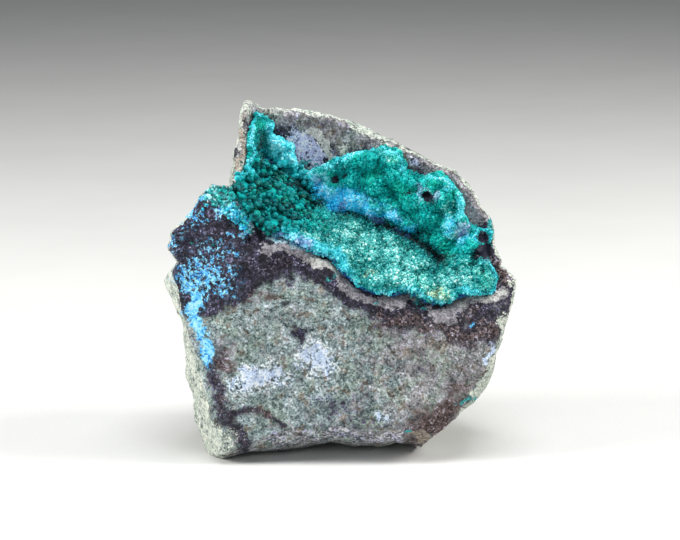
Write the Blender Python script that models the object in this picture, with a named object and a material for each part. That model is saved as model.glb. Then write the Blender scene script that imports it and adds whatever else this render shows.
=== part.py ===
"""Chrysocolla specimen: a broken piece of rock with a crystal-lined hollow in its upper half.

Run it with blender --background --python part.py, or from Blender's text editor. Metres, +Z up. The
origin is on the surface that the piece stands on, under its middle.

The rock is drawn on its broken front face, which leans back a little. Sizes on that face are in
millimetres: across it from left to right, up along it, and out of it towards the person who looks.
They are as seen from VIEW_DISTANCE, where what lies further back looks smaller.
"""

import math

import bmesh
import bpy
import numpy as np

MM = 0.001  # one millimetre, in metres

# How the front face stands in the world
LEAN = math.radians(12.0)
FOOT_HEIGHT = 1.2  # height, above the lowest corner of the outline, at which the rock is worn flat
MIDDLE_DEPTH = 11.2  # from the plane of the face back to the world's origin, at the foot
VIEW_CENTRE = 26.8  # how far up the face the eye is
VIEW_DISTANCE = 359.0

# The rock's outline as (across, up), clockwise from its peak
OUTLINE = [
    (-13.2, 50.6), (-12.3, 50.3), (-10.9, 49.7), (-8.0, 49.8), (-3.9, 49.5), (-0.4, 48.6),
    (2.3, 47.4), (6.3, 45.2), (7.4, 45.1), (9.5, 43.7), (13.5, 42.0), (16.4, 40.8),
    (17.4, 39.4), (19.4, 36.4), (21.5, 33.0), (21.8, 30.3), (23.1, 28.2), (22.7, 27.4),
    (25.0, 25.5), (24.9, 24.0), (23.6, 20.3), (22.0, 15.3), (19.5, 8.8), (17.7, 7.2),
    (13.6, 3.7), (12.6, 2.9), (11.5, 1.7), (9.4, 2.5), (7.8, 2.9), (4.0, 2.0),
    (2.3, 1.7), (-1.5, 2.5), (-7.3, 1.7), (-13.0, 1.4), (-17.8, 0.0), (-18.9, 0.5),
    (-19.6, 3.2), (-20.6, 9.2), (-21.6, 13.7), (-22.2, 19.2), (-23.6, 22.8), (-25.0, 25.5),
    (-22.8, 27.9), (-24.3, 29.6), (-23.7, 32.2), (-22.2, 33.2), (-20.5, 36.0), (-18.2, 39.1),
    (-17.5, 38.8), (-15.4, 38.5), (-14.8, 41.6), (-14.9, 43.3), (-14.2, 45.7), (-14.0, 49.0),
]
# The same at the back, where the notches of the front edge have run out
BACK_OUTLINE = [
    (-12.0, 48.0), (0.0, 48.0), (12.0, 42.0), (18.5, 36.0), (22.5, 26.0), (21.0, 13.0),
    (11.0, 3.0), (-8.0, 1.5), (-17.0, 2.0), (-21.0, 17.0), (-21.0, 30.0), (-15.5, 38.5),
]
FACE_CENTRE = (0.0, 24.0)  # the outline is drawn round this point
FACE_RADIUS = 24.0  # of the round net of points that is stretched to the outline
FACE_STRETCH = 4  # the higher, the closer to the edge the stretching stays
NOTCH_DEPTH = 0.3  # share of the depth over which the notches of the outline run out

# The hollow, in sections from left to right: across, then up and out at its lip, then up and out at
# the valley where its floor meets its back wall
HOLLOW = [
    (-15.3, 38.1, 3.4, 40.2, 0.0),
    (-12.7, 35.4, 4.2, 41.5, -4.5),
    (-11.1, 32.3, 4.8, 42.6, -6.5),
    (-7.1, 31.6, 5.4, 40.6, -7.2),
    (-2.6, 29.1, 5.6, 37.0, -6.8),
    (2.7, 24.4, 5.7, 34.4, -6.0),
    (8.4, 23.3, 5.5, 32.5, -5.0),
    (14.0, 21.9, 5.0, 29.1, -3.6),
    (19.6, 23.6, 3.6, 29.2, -1.4),
    (23.0, 23.6, 2.6, 27.9, 0.6),
]
WALL_RISE = 0.12  # how far out the back wall comes for each millimetre up
LIP_RADIUS = 0.9
VALLEY_RADIUS = 3.0
CREVICE = ((-11.3, 48.0), (-11.9, 41.5))  # the narrow slot beside the fin
CREVICE_DEPTH = 2.2
CREVICE_RADIUS = 1.5
# The fin, a thin wall left standing on the left of the hollow and over the crevice: across, up, out
FIN = [(-15.0, 39.0, 2.8), (-14.0, 42.5, 1.2), (-13.4, 49.0, 0.0), (-11.2, 49.6, -3.0)]
FIN_HALF_WIDTH = 0.6
FIN_SLOPE = 3.0
FIN_FOOT_RADIUS = 2.0

# The front face
FACE_OUT = 7.0
FALL_START = 14.0  # the face is level this far to both sides of its middle
LEFT_FALL = (23.0, 2.8)  # to here it has fallen by this much on the left
RIGHT_FALL = (25.0, 3.0)
SCALLOP_MIDDLE = (0.6, 5.0)  # the top of the arched break along the foot of the face
SCALLOP_CURVE = 0.013  # drop of that arch for each millimetre squared from its middle
SCALLOP_SLOPE = 1.15
CHIP_EDGES = (((8.4, 2.9), (11.2, 4.3)), ((11.2, 4.3), (13.4, 3.4)))  # a lower layer shows below
CHIP_DROP = 3.5
CHIP_EASE = 0.2
SIDE_FACET = ((-22.6, 23.5), (-16.4, 1.0))  # left of this line the face is broken back
SIDE_FACET_SLOPE = 1.5
EDGE_WIDTH = 1.0  # of the worn edge all round the face
EDGE_DROP = 1.1
EDGE_CURVE = 1.5
# Dents in the ledge on the left and in the face: across, up, radius, depth
PITS = [
    (-14.8, 33.6, 1.0, 0.9), (-17.0, 36.4, 0.9, 0.7), (-12.9, 31.2, 0.8, 0.7),
    (-20.6, 30.6, 1.1, 0.7), (-18.3, 27.6, 1.0, 0.5), (-6.1, 17.6, 0.9, 0.6),
]

# The broken back: flat breaks, each a direction (across, up, out) and its distance from CORE
CORE = (0.0, 23.0, -6.0)
BACK_OUT = -23.0
BREAKS = [
    ((0.06, -0.10, -1.00), 14.5),
    ((0.10, 0.66, -0.75), 19.5),
    ((0.80, 0.16, -0.58), 17.8),
    ((-0.84, 0.10, -0.53), 17.6),
    ((0.58, -0.52, -0.63), 17.5),
    ((-0.48, 0.52, -0.70), 19.2),
    ((-0.50, -0.62, -0.60), 21.5),
]
BREAK_ROUNDING = 0.04

# Roughness of the rock: size of the lumps and how far they stand
LUMPS = ((7.0, 0.40), (3.0, 0.28), (1.5, 0.16))

# The crust's outline: its lower edge along the lip, its upper edge on the back wall, and the two
# ends that join them, from below
CRUST_LOWER = [
    (-15.1, 38.2), (-13.1, 35.8), (-11.9, 33.6), (-10.6, 31.9), (-7.2, 31.6), (-4.7, 29.6),
    (-2.6, 29.0), (-0.6, 27.9), (0.4, 26.2), (2.5, 24.5), (5.2, 23.3), (9.8, 23.3),
    (12.3, 22.3), (14.3, 21.9), (17.5, 23.2), (22.0, 23.5),
]
CRUST_UPPER = [
    (-12.2, 49.0), (-10.6, 48.8), (-9.4, 47.6), (-9.8, 46.2), (-8.6, 45.6), (-6.8, 44.8),
    (-6.2, 43.0), (-4.9, 40.6), (-2.9, 41.3), (-0.8, 42.5), (4.2, 43.9), (6.3, 44.3),
    (8.4, 43.7), (9.4, 40.9), (11.2, 40.1), (14.3, 40.4), (16.1, 39.2), (17.0, 37.2),
    (17.2, 35.0), (18.4, 32.9), (21.6, 32.3),
]
CRUST_LEFT = [(-15.1, 38.2), (-14.7, 40.2), (-12.9, 41.8), (-12.8, 45.0), (-12.2, 49.0)]
CRUST_RIGHT = [(22.0, 23.5), (22.3, 26.2), (20.9, 28.5), (21.6, 32.3)]
CRUST_THICKNESS = 0.8
CRUST_TAPER = 0.12  # share of its half width over which it thickens from its edge
BARE_MARGIN = 1.5  # the rock is smooth under the crust, and roughens over this much beside it
CRUST_GAP = 0.4  # between the crust and the rock
SLOPE_STEP = 0.3  # over which the slope of the rock is measured

# Rounded knobs in the dark left corner of the hollow: across, up, radius, height
KNOBS = [
    (-11.1, 35.9, 1.2, 2.3), (-8.2, 35.7, 1.3, 2.2), (-9.8, 38.0, 1.1, 1.9),
    (-7.3, 38.9, 1.0, 1.7), (-10.9, 33.4, 0.9, 1.3), (-6.2, 33.9, 1.0, 1.5),
    (-8.6, 33.3, 0.9, 1.3), (-12.6, 37.8, 0.9, 1.2), (-5.0, 36.2, 0.9, 1.3),
]
# Dark round nodules that sit on the crust
NODULES = [(20.2, 29.7, 1.0, 1.3), (20.1, 32.4, 0.8, 0.9), (12.2, 37.3, 0.6, 0.6)]
KNOB_FLATNESS = 0.75  # of a knob's width to its height on the face
# Low mounds on the rest of the crust, and the pointed crystals that cover it: how far apart they
# are, how high they are, and their radius as a share of that distance
MOUNDS = (3.4, 1.1, 0.67)
CRYSTALS = (1.15, 0.55, 0.70)
SEED_SPREAD = 0.38  # how far mounds and crystals stray from an even net

# Fineness of the surfaces before they are thinned, and the share of triangles that is kept
ROCK_NET = 72
ROCK_KEPT = 0.088
CRUST_NET = (150, 84)
CRUST_KEPT = 0.082


def clear_scene():
    for old in list(bpy.data.objects):
        bpy.data.objects.remove(old, do_unlink=True)


def collection(name, shown=True):
    made = bpy.data.collections.new(name)
    made.hide_render = not shown
    bpy.context.scene.collection.children.link(made)
    return made


def material(name, colour, roughness):
    made = bpy.data.materials.new(name)
    made.use_nodes = True
    shader = made.node_tree.nodes["Principled BSDF"]
    shader.inputs["Base Color"].default_value = (*colour, 1.0)
    shader.inputs["Roughness"].default_value = roughness
    shader.inputs["Metallic"].default_value = 0.0
    return made


def eased(low, high, value):
    """0 below low and 1 above high, with a smooth climb between them."""
    share = np.clip((value - low) / (high - low), 0.0, 1.0)
    return share * share * (3.0 - 2.0 * share)


def soft_min(a, b, radius):
    """The lower of two surfaces, with the edge where they meet rounded."""
    share = np.clip(0.5 + 0.5 * (b - a) / radius, 0.0, 1.0)
    return b + (a - b) * share - radius * share * (1.0 - share)


def soft_max(a, b, radius):
    return -soft_min(-a, -b, radius)


def from_line(across, up, start, end):
    """Distance to the line from start to end, height above its course, and share of it passed."""
    run = np.subtract(end, start)
    length = math.hypot(*run)
    along = ((across - start[0]) * run[0] + (up - start[1]) * run[1]) / length
    above = (-(across - start[0]) * run[1] + (up - start[1]) * run[0]) / length
    on_line = np.clip(along, 0.0, length)
    return np.hypot(along - on_line, above), above, on_line / length


def lattice(cell, seed):
    """A number from -1 to 1 for each whole-numbered cell, the same every time."""
    mixed = cell[..., 0] * 73856093 ^ cell[..., 1] * 19349663 ^ cell[..., 2] * 83492791
    mixed = (mixed ^ seed * 2654435) & 0xFFFFFFFF
    mixed = ((mixed ^ mixed >> 15) * 2246822519) & 0xFFFFFFFF
    mixed = ((mixed ^ mixed >> 13) * 3266489917) & 0xFFFFFFFF
    return (mixed ^ mixed >> 16) / 0x7FFFFFFF - 1.0


def noise(points, size, seed):
    """Smooth noise from -1 to 1: numbers on a cubic lattice, eased from one corner to the next."""
    cell = np.floor(points / size).astype(np.int64)
    part = points / size - cell
    part = part * part * (3.0 - 2.0 * part)
    total = 0.0
    for corner in np.ndindex(2, 2, 2):
        share = np.prod(np.where(corner, part, 1.0 - part), axis=-1)
        total = total + share * lattice(cell + corner, seed)
    return total


def nearest_seed(across, up, size, seed):
    """Distance, in sizes, to the nearest of the points strewn one to a square of that size."""
    points = np.stack([across / size, up / size, np.zeros_like(across)], axis=-1)
    cell = np.floor(points).astype(np.int64)
    nearest = np.full(across.shape, np.inf)
    for step in np.ndindex(3, 3):
        near = cell + (step[0] - 1, step[1] - 1, 0)
        off_across = near[..., 0] + 0.5 + SEED_SPREAD * lattice(near, seed) - points[..., 0]
        off_up = near[..., 1] + 0.5 + SEED_SPREAD * lattice(near, seed + 1) - points[..., 1]
        nearest = np.minimum(nearest, np.hypot(off_across, off_up))
    return nearest


def outline_reach(angle, outline):
    """How far an outline is from FACE_CENTRE in each direction."""
    across, up = (np.array(outline) - FACE_CENTRE).T
    corners = np.arctan2(up, across)
    order = np.argsort(corners)
    return np.interp(angle, corners[order], np.hypot(across, up)[order], period=2.0 * math.pi)


def fin_relief(across, up):
    """The fin: a ridge that falls steeply to both sides of the line along its top."""
    relief = np.full(across.shape, BACK_OUT)
    for start, end in zip(FIN, FIN[1:]):
        distance, _, share = from_line(across, up, start[:2], end[:2])
        top = start[2] + (end[2] - start[2]) * share
        relief = np.maximum(relief, top - FIN_SLOPE * np.maximum(distance - FIN_HALF_WIDTH, 0.0))
    return relief


def hollow_relief(across, up):
    """The hollow's floor and back wall, which meet in a rounded valley, and the fin beside them."""
    sections = np.array(HOLLOW)
    lip_up, lip_out, valley_up, valley_out = (
        np.interp(across, sections[:, 0], sections[:, column]) for column in (1, 2, 3, 4)
    )
    slope = (valley_out - lip_out) / (valley_up - lip_up)
    floor = lip_out + slope * (up - lip_up)
    wall = valley_out + WALL_RISE * (up - valley_up)
    relief = soft_max(floor, wall, VALLEY_RADIUS)
    distance = from_line(across, up, *CREVICE)[0]
    relief = relief - CREVICE_DEPTH * np.exp(-((distance / CREVICE_RADIUS) ** 2))
    return soft_max(relief, fin_relief(across, up), FIN_FOOT_RADIUS)


def face_relief(across, up):
    """The flat front break, with the scallop, the chip and the facet along its edges."""
    out = FACE_OUT - LEFT_FALL[1] * eased(FALL_START, LEFT_FALL[0], -across)
    out = out - RIGHT_FALL[1] * eased(FALL_START, RIGHT_FALL[0], across)
    middle, top = SCALLOP_MIDDLE
    arch = top - SCALLOP_CURVE * (across - middle) ** 2
    out = out - SCALLOP_SLOPE * np.maximum(arch - up, 0.0)
    above_chip = [from_line(across, up, *edge)[1] for edge in CHIP_EDGES]
    under_chip = [eased(CHIP_EASE, -CHIP_EASE, above) for above in above_chip]
    out = out - CHIP_DROP * np.minimum(*under_chip)
    left_of_facet = np.maximum(-from_line(across, up, *SIDE_FACET)[1], 0.0)
    return out - SIDE_FACET_SLOPE * left_of_facet


def bare_relief(across, up):
    """The rock's front without its roughness, which is also what the crust lies on."""
    return soft_min(face_relief(across, up), hollow_relief(across, up), LIP_RADIUS)


def wear(across, up, inside):
    """How much is worn off the face: all round its edge, and in the pits."""
    worn = EDGE_DROP * (1.0 - np.clip(inside / EDGE_WIDTH, 0.0, 1.0)) ** EDGE_CURVE
    for place_across, place_up, radius, depth in PITS:
        away = np.hypot(across - place_across, up - place_up) / radius
        worn = worn + depth * np.exp(-(away**2))
    return worn


def broken_back(points):
    """Points beyond a break are drawn back to it, on their line to CORE."""
    from_core = points - CORE
    keep = np.ones(len(points))
    for direction, distance in BREAKS:
        normal = np.array(direction) / np.linalg.norm(direction)
        reach = np.maximum(from_core @ normal, distance / 2.0)
        keep = soft_min(keep, distance / reach, BREAK_ROUNDING)
    return CORE + from_core * np.minimum(keep, 1.0)[:, None]


def under_crust(across, up):
    """1 where the crust lies, easing to 0 within BARE_MARGIN outside it."""
    edge = CRUST_LOWER + CRUST_RIGHT[1:-1] + CRUST_UPPER[::-1] + CRUST_LEFT[-2:0:-1]
    distance = np.full(across.shape, np.inf)
    inside = np.zeros(across.shape, bool)
    for start, end in zip(edge, edge[1:] + edge[:1]):
        away, above, _ = from_line(across, up, start, end)
        distance = np.minimum(distance, away)
        crosses = (start[1] > up) != (end[1] > up)
        inside ^= crosses & ((above > 0.0) == (end[1] > start[1]))
    return np.where(inside, 1.0, eased(BARE_MARGIN, 0.0, distance))


def rock_points(cube):
    """Moves the points of a cube from -1 to 1 on to the rock: its front, sides and back."""
    wide, high, deep = cube.T
    disc = np.stack(
        [wide * np.sqrt(1.0 - high**2 / 2.0), high * np.sqrt(1.0 - wide**2 / 2.0)], axis=-1
    )
    share = np.minimum(np.hypot(*disc.T), 1.0)
    angle = np.arctan2(disc[:, 1], disc[:, 0])
    reach = outline_reach(angle, OUTLINE)
    back = (1.0 - deep) / 2.0
    behind = np.minimum(outline_reach(angle, BACK_OUTLINE), reach)
    reach = reach + (behind - reach) * eased(0.0, NOTCH_DEPTH, back)
    radius = share * (FACE_RADIUS + (reach - FACE_RADIUS) * share**FACE_STRETCH)
    across = FACE_CENTRE[0] + radius * np.cos(angle)
    up = FACE_CENTRE[1] + radius * np.sin(angle)
    front = bare_relief(across, up) - wear(across, up, reach - radius)
    out = front + (BACK_OUT - front) * back
    points = np.stack([across, up, out], axis=-1)
    points = np.where((back > 0.0)[:, None], broken_back(points), points)
    smooth = under_crust(across, up) * (back == 0.0)
    height = sum(tall * noise(points, size, seed) for seed, (size, tall) in enumerate(LUMPS))
    from_core = points - CORE
    outward = from_core / np.linalg.norm(from_core, axis=1)[:, None]
    return points + outward * (height * (1.0 - smooth))[:, None]


def crust_height(across, up):
    """Height of the crust's top over its edge: mounds, knobs and nodules, and crystals on them."""
    apart, tall, radius = MOUNDS
    away = nearest_seed(across, up, apart, seed=11) / radius
    height = tall * np.maximum(1.0 - away**2, 0.0)
    knobs = np.zeros(across.shape)
    for place_across, place_up, radius, knob in KNOBS + NODULES:
        away = np.hypot(across - place_across, (up - place_up) * KNOB_FLATNESS) / radius
        knobs = np.maximum(knobs, knob * np.sqrt(np.maximum(1.0 - away**2, 0.0)))
    apart, tall, radius = CRYSTALS
    away = nearest_seed(across, up, apart, seed=23) / radius
    crystals = tall * np.maximum(1.0 - away, 0.0)
    return np.maximum(height, knobs) + crystals


def spread_along(points, shares):
    """Points at these shares of the length of a line through the given points."""
    points = np.array(points)
    steps = np.hypot(*np.diff(points, axis=0).T)
    marks = np.concatenate([[0.0], np.cumsum(steps)]) / steps.sum()
    return np.stack([np.interp(shares, marks, column) for column in points.T], axis=-1)


def crust_place(along, over):
    """A patch stretched between the crust's four edges: along and over run from 0 to 1."""
    lower, upper = spread_along(CRUST_LOWER, along), spread_along(CRUST_UPPER, along)
    left, right = spread_along(CRUST_LEFT, over), spread_along(CRUST_RIGHT, over)
    along, over = along[:, None], over[:, None]
    corners = (1.0 - over) * ((1.0 - along) * CRUST_LOWER[0] + along * CRUST_LOWER[-1])
    corners = corners + over * ((1.0 - along) * CRUST_UPPER[0] + along * CRUST_UPPER[-1])
    between = (1.0 - over) * lower + over * upper + (1.0 - along) * left + along * right
    return (between - corners).T


def clear_of_rock(across, up):
    """The rock's bare surface plus the gap, which is measured square to that surface."""
    step = SLOPE_STEP
    rise_across = (bare_relief(across + step, up) - bare_relief(across - step, up)) / (2.0 * step)
    rise_up = (bare_relief(across, up + step) - bare_relief(across, up - step)) / (2.0 * step)
    steepness = np.sqrt(1.0 + rise_across**2 + rise_up**2)
    return bare_relief(across, up) + CRUST_GAP * steepness


def crust_points(slab):
    """Moves the points of a flat slab on to the crust: its underside at 0 and its top at 1."""
    along, over = (slab[:, 0] + 1.0) / 2.0, (slab[:, 1] + 1.0) / 2.0
    across, up = crust_place(along, over)
    under = clear_of_rock(across, up)
    from_edge = np.minimum(1.0 - np.abs(slab[:, 0]), 1.0 - np.abs(slab[:, 1]))
    top = CRUST_THICKNESS + crust_height(across, up) * eased(0.0, CRUST_TAPER, from_edge)
    return np.stack([across, up, under + slab[:, 2] * top], axis=-1)


def stood_up(points):
    """From the plane of the face to the world: leaned back, and put over the origin, in metres."""
    across, up, out = points.T
    nearness = 1.0 - out / VIEW_DISTANCE
    across = across * nearness
    up = VIEW_CENTRE + (up - VIEW_CENTRE) * nearness
    depth = up * math.sin(LEAN) - out * math.cos(LEAN) - MIDDLE_DEPTH
    height = up * math.cos(LEAN) + out * math.sin(LEAN) - FOOT_HEIGHT
    return np.stack([across, depth, height], axis=-1) * MM


def move_points(mesh, shape):
    """Replaces each vertex of a primitive by what the shape function makes of it."""
    points = np.empty(len(mesh.vertices) * 3, np.float32)
    mesh.vertices.foreach_get("co", points)
    moved = stood_up(shape(points.reshape(-1, 3).astype(float)))
    mesh.vertices.foreach_set("co", moved.astype(np.float32).ravel())
    mesh.update()


def finished(builder, name, shape, kept, finish, group):
    """Makes the object from a bmesh primitive, shapes it, and thins it to the share kept."""
    mesh = bpy.data.meshes.new(name)
    builder.to_mesh(mesh)
    builder.free()
    move_points(mesh, shape)
    mesh.materials.append(finish)
    made = bpy.data.objects.new(name, mesh)
    group.objects.link(made)
    thin = made.modifiers.new("fewer faces", "DECIMATE")
    thin.ratio = kept
    return made


def make_rock(finish, group):
    builder = bmesh.new()
    bmesh.ops.create_cube(builder, size=2.0)
    bmesh.ops.subdivide_edges(
        builder, edges=builder.edges, cuts=ROCK_NET - 1, use_grid_fill=True
    )
    return finished(builder, "host_rock", rock_points, ROCK_KEPT, finish, group)


def make_crust(finish, group):
    builder = bmesh.new()
    columns, rows = CRUST_NET
    bmesh.ops.create_grid(builder, x_segments=columns, y_segments=rows, size=1.0)
    raised = bmesh.ops.extrude_face_region(builder, geom=builder.faces[:])["geom"]
    top = [item for item in raised if isinstance(item, bmesh.types.BMVert)]
    bmesh.ops.translate(builder, verts=top, vec=(0.0, 0.0, 1.0))
    bmesh.ops.recalc_face_normals(builder, faces=builder.faces)
    return finished(builder, "druse_crust", crust_points, CRUST_KEPT, finish, group)


def stand_on_floor(rock, group):
    """Cuts the rock flat at the origin's height, with a block that fills the space below."""
    bpy.ops.mesh.primitive_cube_add(size=80.0 * MM, location=(0.0, 0.0, -40.0 * MM))
    block = bpy.context.object
    block.name = "floor_cutter"
    block.display_type = "WIRE"
    block.hide_render = True
    for old in block.users_collection:
        old.objects.unlink(block)
    group.objects.link(block)
    cut = rock.modifiers.new("flat foot", "BOOLEAN")
    cut.operation = "DIFFERENCE"
    cut.object = block


def main():
    clear_scene()
    specimen = collection("chrysocolla specimen")
    cutters = collection("cutters", shown=False)
    rock = make_rock(material("grey green rock", (0.33, 0.37, 0.33), 0.85), specimen)
    make_crust(material("teal druse", (0.02, 0.42, 0.36), 0.35), specimen)
    stand_on_floor(rock, cutters)


main()
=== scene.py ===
"""Looks of a chrysocolla specimen: a broken piece of rock with a crystal-lined hollow.

The shapes are worked out on the broken front face, in millimetres: across it, up along it, and out
of it towards the viewer. FacePlane turns such points into the world's metres. The broken rock, the
crust in its hollow and the crystals on the crust are surfaces over that face.
"""

import logging
import math
from collections.abc import Callable, Sequence
from dataclasses import dataclass
from enum import Enum

import bpy
import numpy as np
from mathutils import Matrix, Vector


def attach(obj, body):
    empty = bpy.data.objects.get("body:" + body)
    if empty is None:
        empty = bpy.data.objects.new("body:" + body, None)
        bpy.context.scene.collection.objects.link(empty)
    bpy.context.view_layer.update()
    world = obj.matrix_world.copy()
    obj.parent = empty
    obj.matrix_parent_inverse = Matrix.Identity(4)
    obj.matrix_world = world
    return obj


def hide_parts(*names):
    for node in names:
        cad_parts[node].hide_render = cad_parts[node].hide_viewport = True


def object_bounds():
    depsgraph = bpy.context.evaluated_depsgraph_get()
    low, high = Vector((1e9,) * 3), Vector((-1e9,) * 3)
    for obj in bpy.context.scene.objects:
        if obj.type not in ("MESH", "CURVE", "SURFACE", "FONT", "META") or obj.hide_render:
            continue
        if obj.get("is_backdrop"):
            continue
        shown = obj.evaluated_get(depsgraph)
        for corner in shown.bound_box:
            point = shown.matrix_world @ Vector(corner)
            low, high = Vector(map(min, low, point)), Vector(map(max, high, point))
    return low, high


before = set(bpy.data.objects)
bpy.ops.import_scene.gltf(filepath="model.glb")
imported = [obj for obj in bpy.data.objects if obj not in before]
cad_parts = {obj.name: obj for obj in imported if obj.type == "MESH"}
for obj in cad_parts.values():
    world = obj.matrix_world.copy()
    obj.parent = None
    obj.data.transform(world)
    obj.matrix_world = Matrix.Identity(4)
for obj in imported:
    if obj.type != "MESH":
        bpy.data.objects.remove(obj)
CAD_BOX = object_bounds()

Array = np.ndarray
Colour = tuple[float, float, float]
Place = tuple[float, float]
Noise = tuple[float, float, float]
Stops = tuple[tuple[float, Colour], ...]
Socket = bpy.types.NodeSocket
Inputs = dict[str | int, Socket | float | Colour]

MM = 0.001
BODY = "root"
STRAYS = ((3.4, 0.9), (1.4, 0.5), (0.6, 0.28))  # size of the noise, and how far it moves a place
NOISE_RANGE = (0.3, 0.7)
FAINT_MARK = (0.04, 0.3)
LOG = logging.getLogger("specimen")


# Plain mathematics on whole arrays


def eased(low: float, high: float, value: Array) -> Array:
    """Climb smoothly from 0 at low to 1 at high: three times the share squared less twice it cubed."""
    share = np.clip((value - low) / (high - low), 0.0, 1.0)
    return share * share * (3.0 - 2.0 * share)


def soft_min(first: Array, second: Array, radius: float) -> Array:
    """The lower of two heights. They blend where they differ by less than the radius."""
    share = np.clip(0.5 + 0.5 * (second - first) / radius, 0.0, 1.0)
    return second + (first - second) * share - radius * share * (1.0 - share)


def soft_max(first: Array, second: Array, radius: float) -> Array:
    """Take the higher of two heights, as soft_min does for the lower."""
    return -soft_min(-first, -second, radius)


def from_line(across: Array, up: Array, start: Place, end: Place) -> tuple[Array, Array, Array]:
    """Measure points against one straight stretch of line.

    Args:
        across, up: The points.
        start, end: The ends of the line.

    Returns:
        tuple: Distance to the stretch, signed height to the left of its course, and the share of
        it at the nearest point.
    """
    run = np.subtract(end, start)
    length = math.hypot(*run)
    along = ((across - start[0]) * run[0] + (up - start[1]) * run[1]) / length
    above = (-(across - start[0]) * run[1] + (up - start[1]) * run[0]) / length
    on_line = np.clip(along, 0.0, length)
    return np.hypot(along - on_line, above), above, on_line / length


def from_course(across: Array, up: Array, course: Sequence[Place]) -> Array:
    """Distance from points to a line through several places, the least over its stretches."""
    pairs = zip(course, course[1:])
    return np.min([from_line(across, up, start, end)[0] for start, end in pairs], axis=0)


def lattice(cell: Array, seed: int) -> Array:
    """Give each whole-numbered cell a number from -1 to 1 by mixing the bits of its indices.

    Args:
        cell: Integer indices, three to a cell.
        seed: Chooses one of many such fields.

    Returns:
        Array: One number a cell.
    """
    mixed = cell[..., 0] * 73856093 ^ cell[..., 1] * 19349663 ^ cell[..., 2] * 83492791
    mixed = (mixed ^ seed * 2654435) & 0xFFFFFFFF
    mixed = ((mixed ^ mixed >> 15) * 2246822519) & 0xFFFFFFFF
    mixed = ((mixed ^ mixed >> 13) * 3266489917) & 0xFFFFFFFF
    return (mixed ^ mixed >> 16) / 0x7FFFFFFF - 1.0


def noise(points: Array, size: float, seed: int) -> Array:
    """Blend the lattice's numbers smoothly between the eight corners of the cell round a point.

    Args:
        points: Places, three coordinates each.
        size: Side of a cell.
        seed: Chooses the field.

    Returns:
        Array: Smooth noise from -1 to 1.
    """
    cell = np.floor(points / size).astype(np.int64)
    part = points / size - cell
    part = part * part * (3.0 - 2.0 * part)
    total = np.zeros(points.shape[:-1])
    for corner in np.ndindex(2, 2, 2):
        share = np.prod(np.where(corner, part, 1.0 - part), axis=-1)
        total += share * lattice(cell + corner, seed)
    return total


def face_noise(across: Array, up: Array, size: float, seed: int) -> Array:
    """Noise over the face: that of space, at a depth of nothing."""
    return noise(np.stack([across, up, np.zeros_like(across)], axis=-1), size, seed)


def nearest_seed(across: Array, up: Array, size: float, seed: int, spread: float = 0.38) -> Array:
    """Distance to the nearest of the points that are strewn one to a square.

    Args:
        across, up: Places on the face.
        size: Side of a square.
        seed: Chooses the points.
        spread: How far a point strays from its square's middle, in squares.

    Returns:
        Array: The distance, in squares.
    """
    points = np.stack([across / size, up / size, np.zeros_like(across)], axis=-1)
    cell = np.floor(points).astype(np.int64)
    nearest = np.full(across.shape, np.inf)
    for step in np.ndindex(3, 3):
        near = cell + (step[0] - 1, step[1] - 1, 0)
        off_across = near[..., 0] + 0.5 + spread * lattice(near, seed) - points[..., 0]
        off_up = near[..., 1] + 0.5 + spread * lattice(near, seed + 1) - points[..., 1]
        nearest = np.minimum(nearest, np.hypot(off_across, off_up))
    return nearest


def strayed(across: Array, up: Array, seed: int) -> tuple[Array, Array]:
    """Shift each place by noise of several sizes, so that what is drawn there has a torn edge.

    Args:
        across, up: Places on the face.
        seed: Chooses the noise.

    Returns:
        tuple: The shifted places.
    """
    new_across, new_up = across.copy(), up.copy()
    for turn, (size, far) in enumerate(STRAYS):
        new_across += far * face_noise(across, up, size, seed + turn)
        new_up += far * face_noise(across, up, size, seed + turn + 10)
    return new_across, new_up


def steps_of(surface: Callable[[Array, Array], Array], first: Array, second: Array, step: float,
             most: float = math.inf) -> tuple[Array, Array, Array]:
    """Measure how a surface of two coordinates runs on from each place.

    Args:
        surface: Gives points for two coordinates.
        first, second: The coordinates.
        step: How far to go along each.
        most: Where both end.

    Returns:
        tuple: The points, and the way from each to the next along either coordinate.
    """
    here = surface(first, second)
    right = surface(np.minimum(first + step, most), second) - here
    onward = surface(first, np.minimum(second + step, most)) - here
    return here, right, onward


def unit(vectors: Array) -> Array:
    """Bring vectors to length one, by dividing each by its length."""
    return vectors / np.linalg.norm(vectors, axis=-1, keepdims=True)


# Marks: where a colour or a form lies on the face


@dataclass(frozen=True)
class Blot:
    """A soft oval patch.

    Its strength falls off as the bell curve of the distance from its middle, measured in its own
    half width and half height.
    """

    across: float
    up: float
    half_wide: float
    half_high: float
    strength: float = 1.0
    turn: float = 0.0  # degrees, against the clock

    def on(self, across: Array, up: Array) -> Array:
        """Strength of the patch at these places."""
        angle = math.radians(self.turn)
        right, high = across - self.across, up - self.up
        along = (right * math.cos(angle) + high * math.sin(angle)) / self.half_wide
        over = (high * math.cos(angle) - right * math.sin(angle)) / self.half_high
        return self.strength * np.exp(-(along**2 + over**2))


@dataclass(frozen=True)
class Streak:
    """A soft band along a course, which falls off from its middle line as a bell curve."""

    course: tuple[Place, ...]
    half_wide: float
    strength: float = 1.0

    def on(self, across: Array, up: Array) -> Array:
        """Strength of the band at these places."""
        away = from_course(across, up, self.course) / self.half_wide
        return self.strength * np.exp(-(away**2))


def marked(marks: Sequence[Blot | Streak], across: Array, up: Array) -> Array:
    """Lay several marks on one another: the strongest counts at each place."""
    return np.max([mark.on(across, up) for mark in marks], axis=0)


Marks = tuple[Blot | Streak, ...]


# The shape of the rock and of the crust


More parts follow.
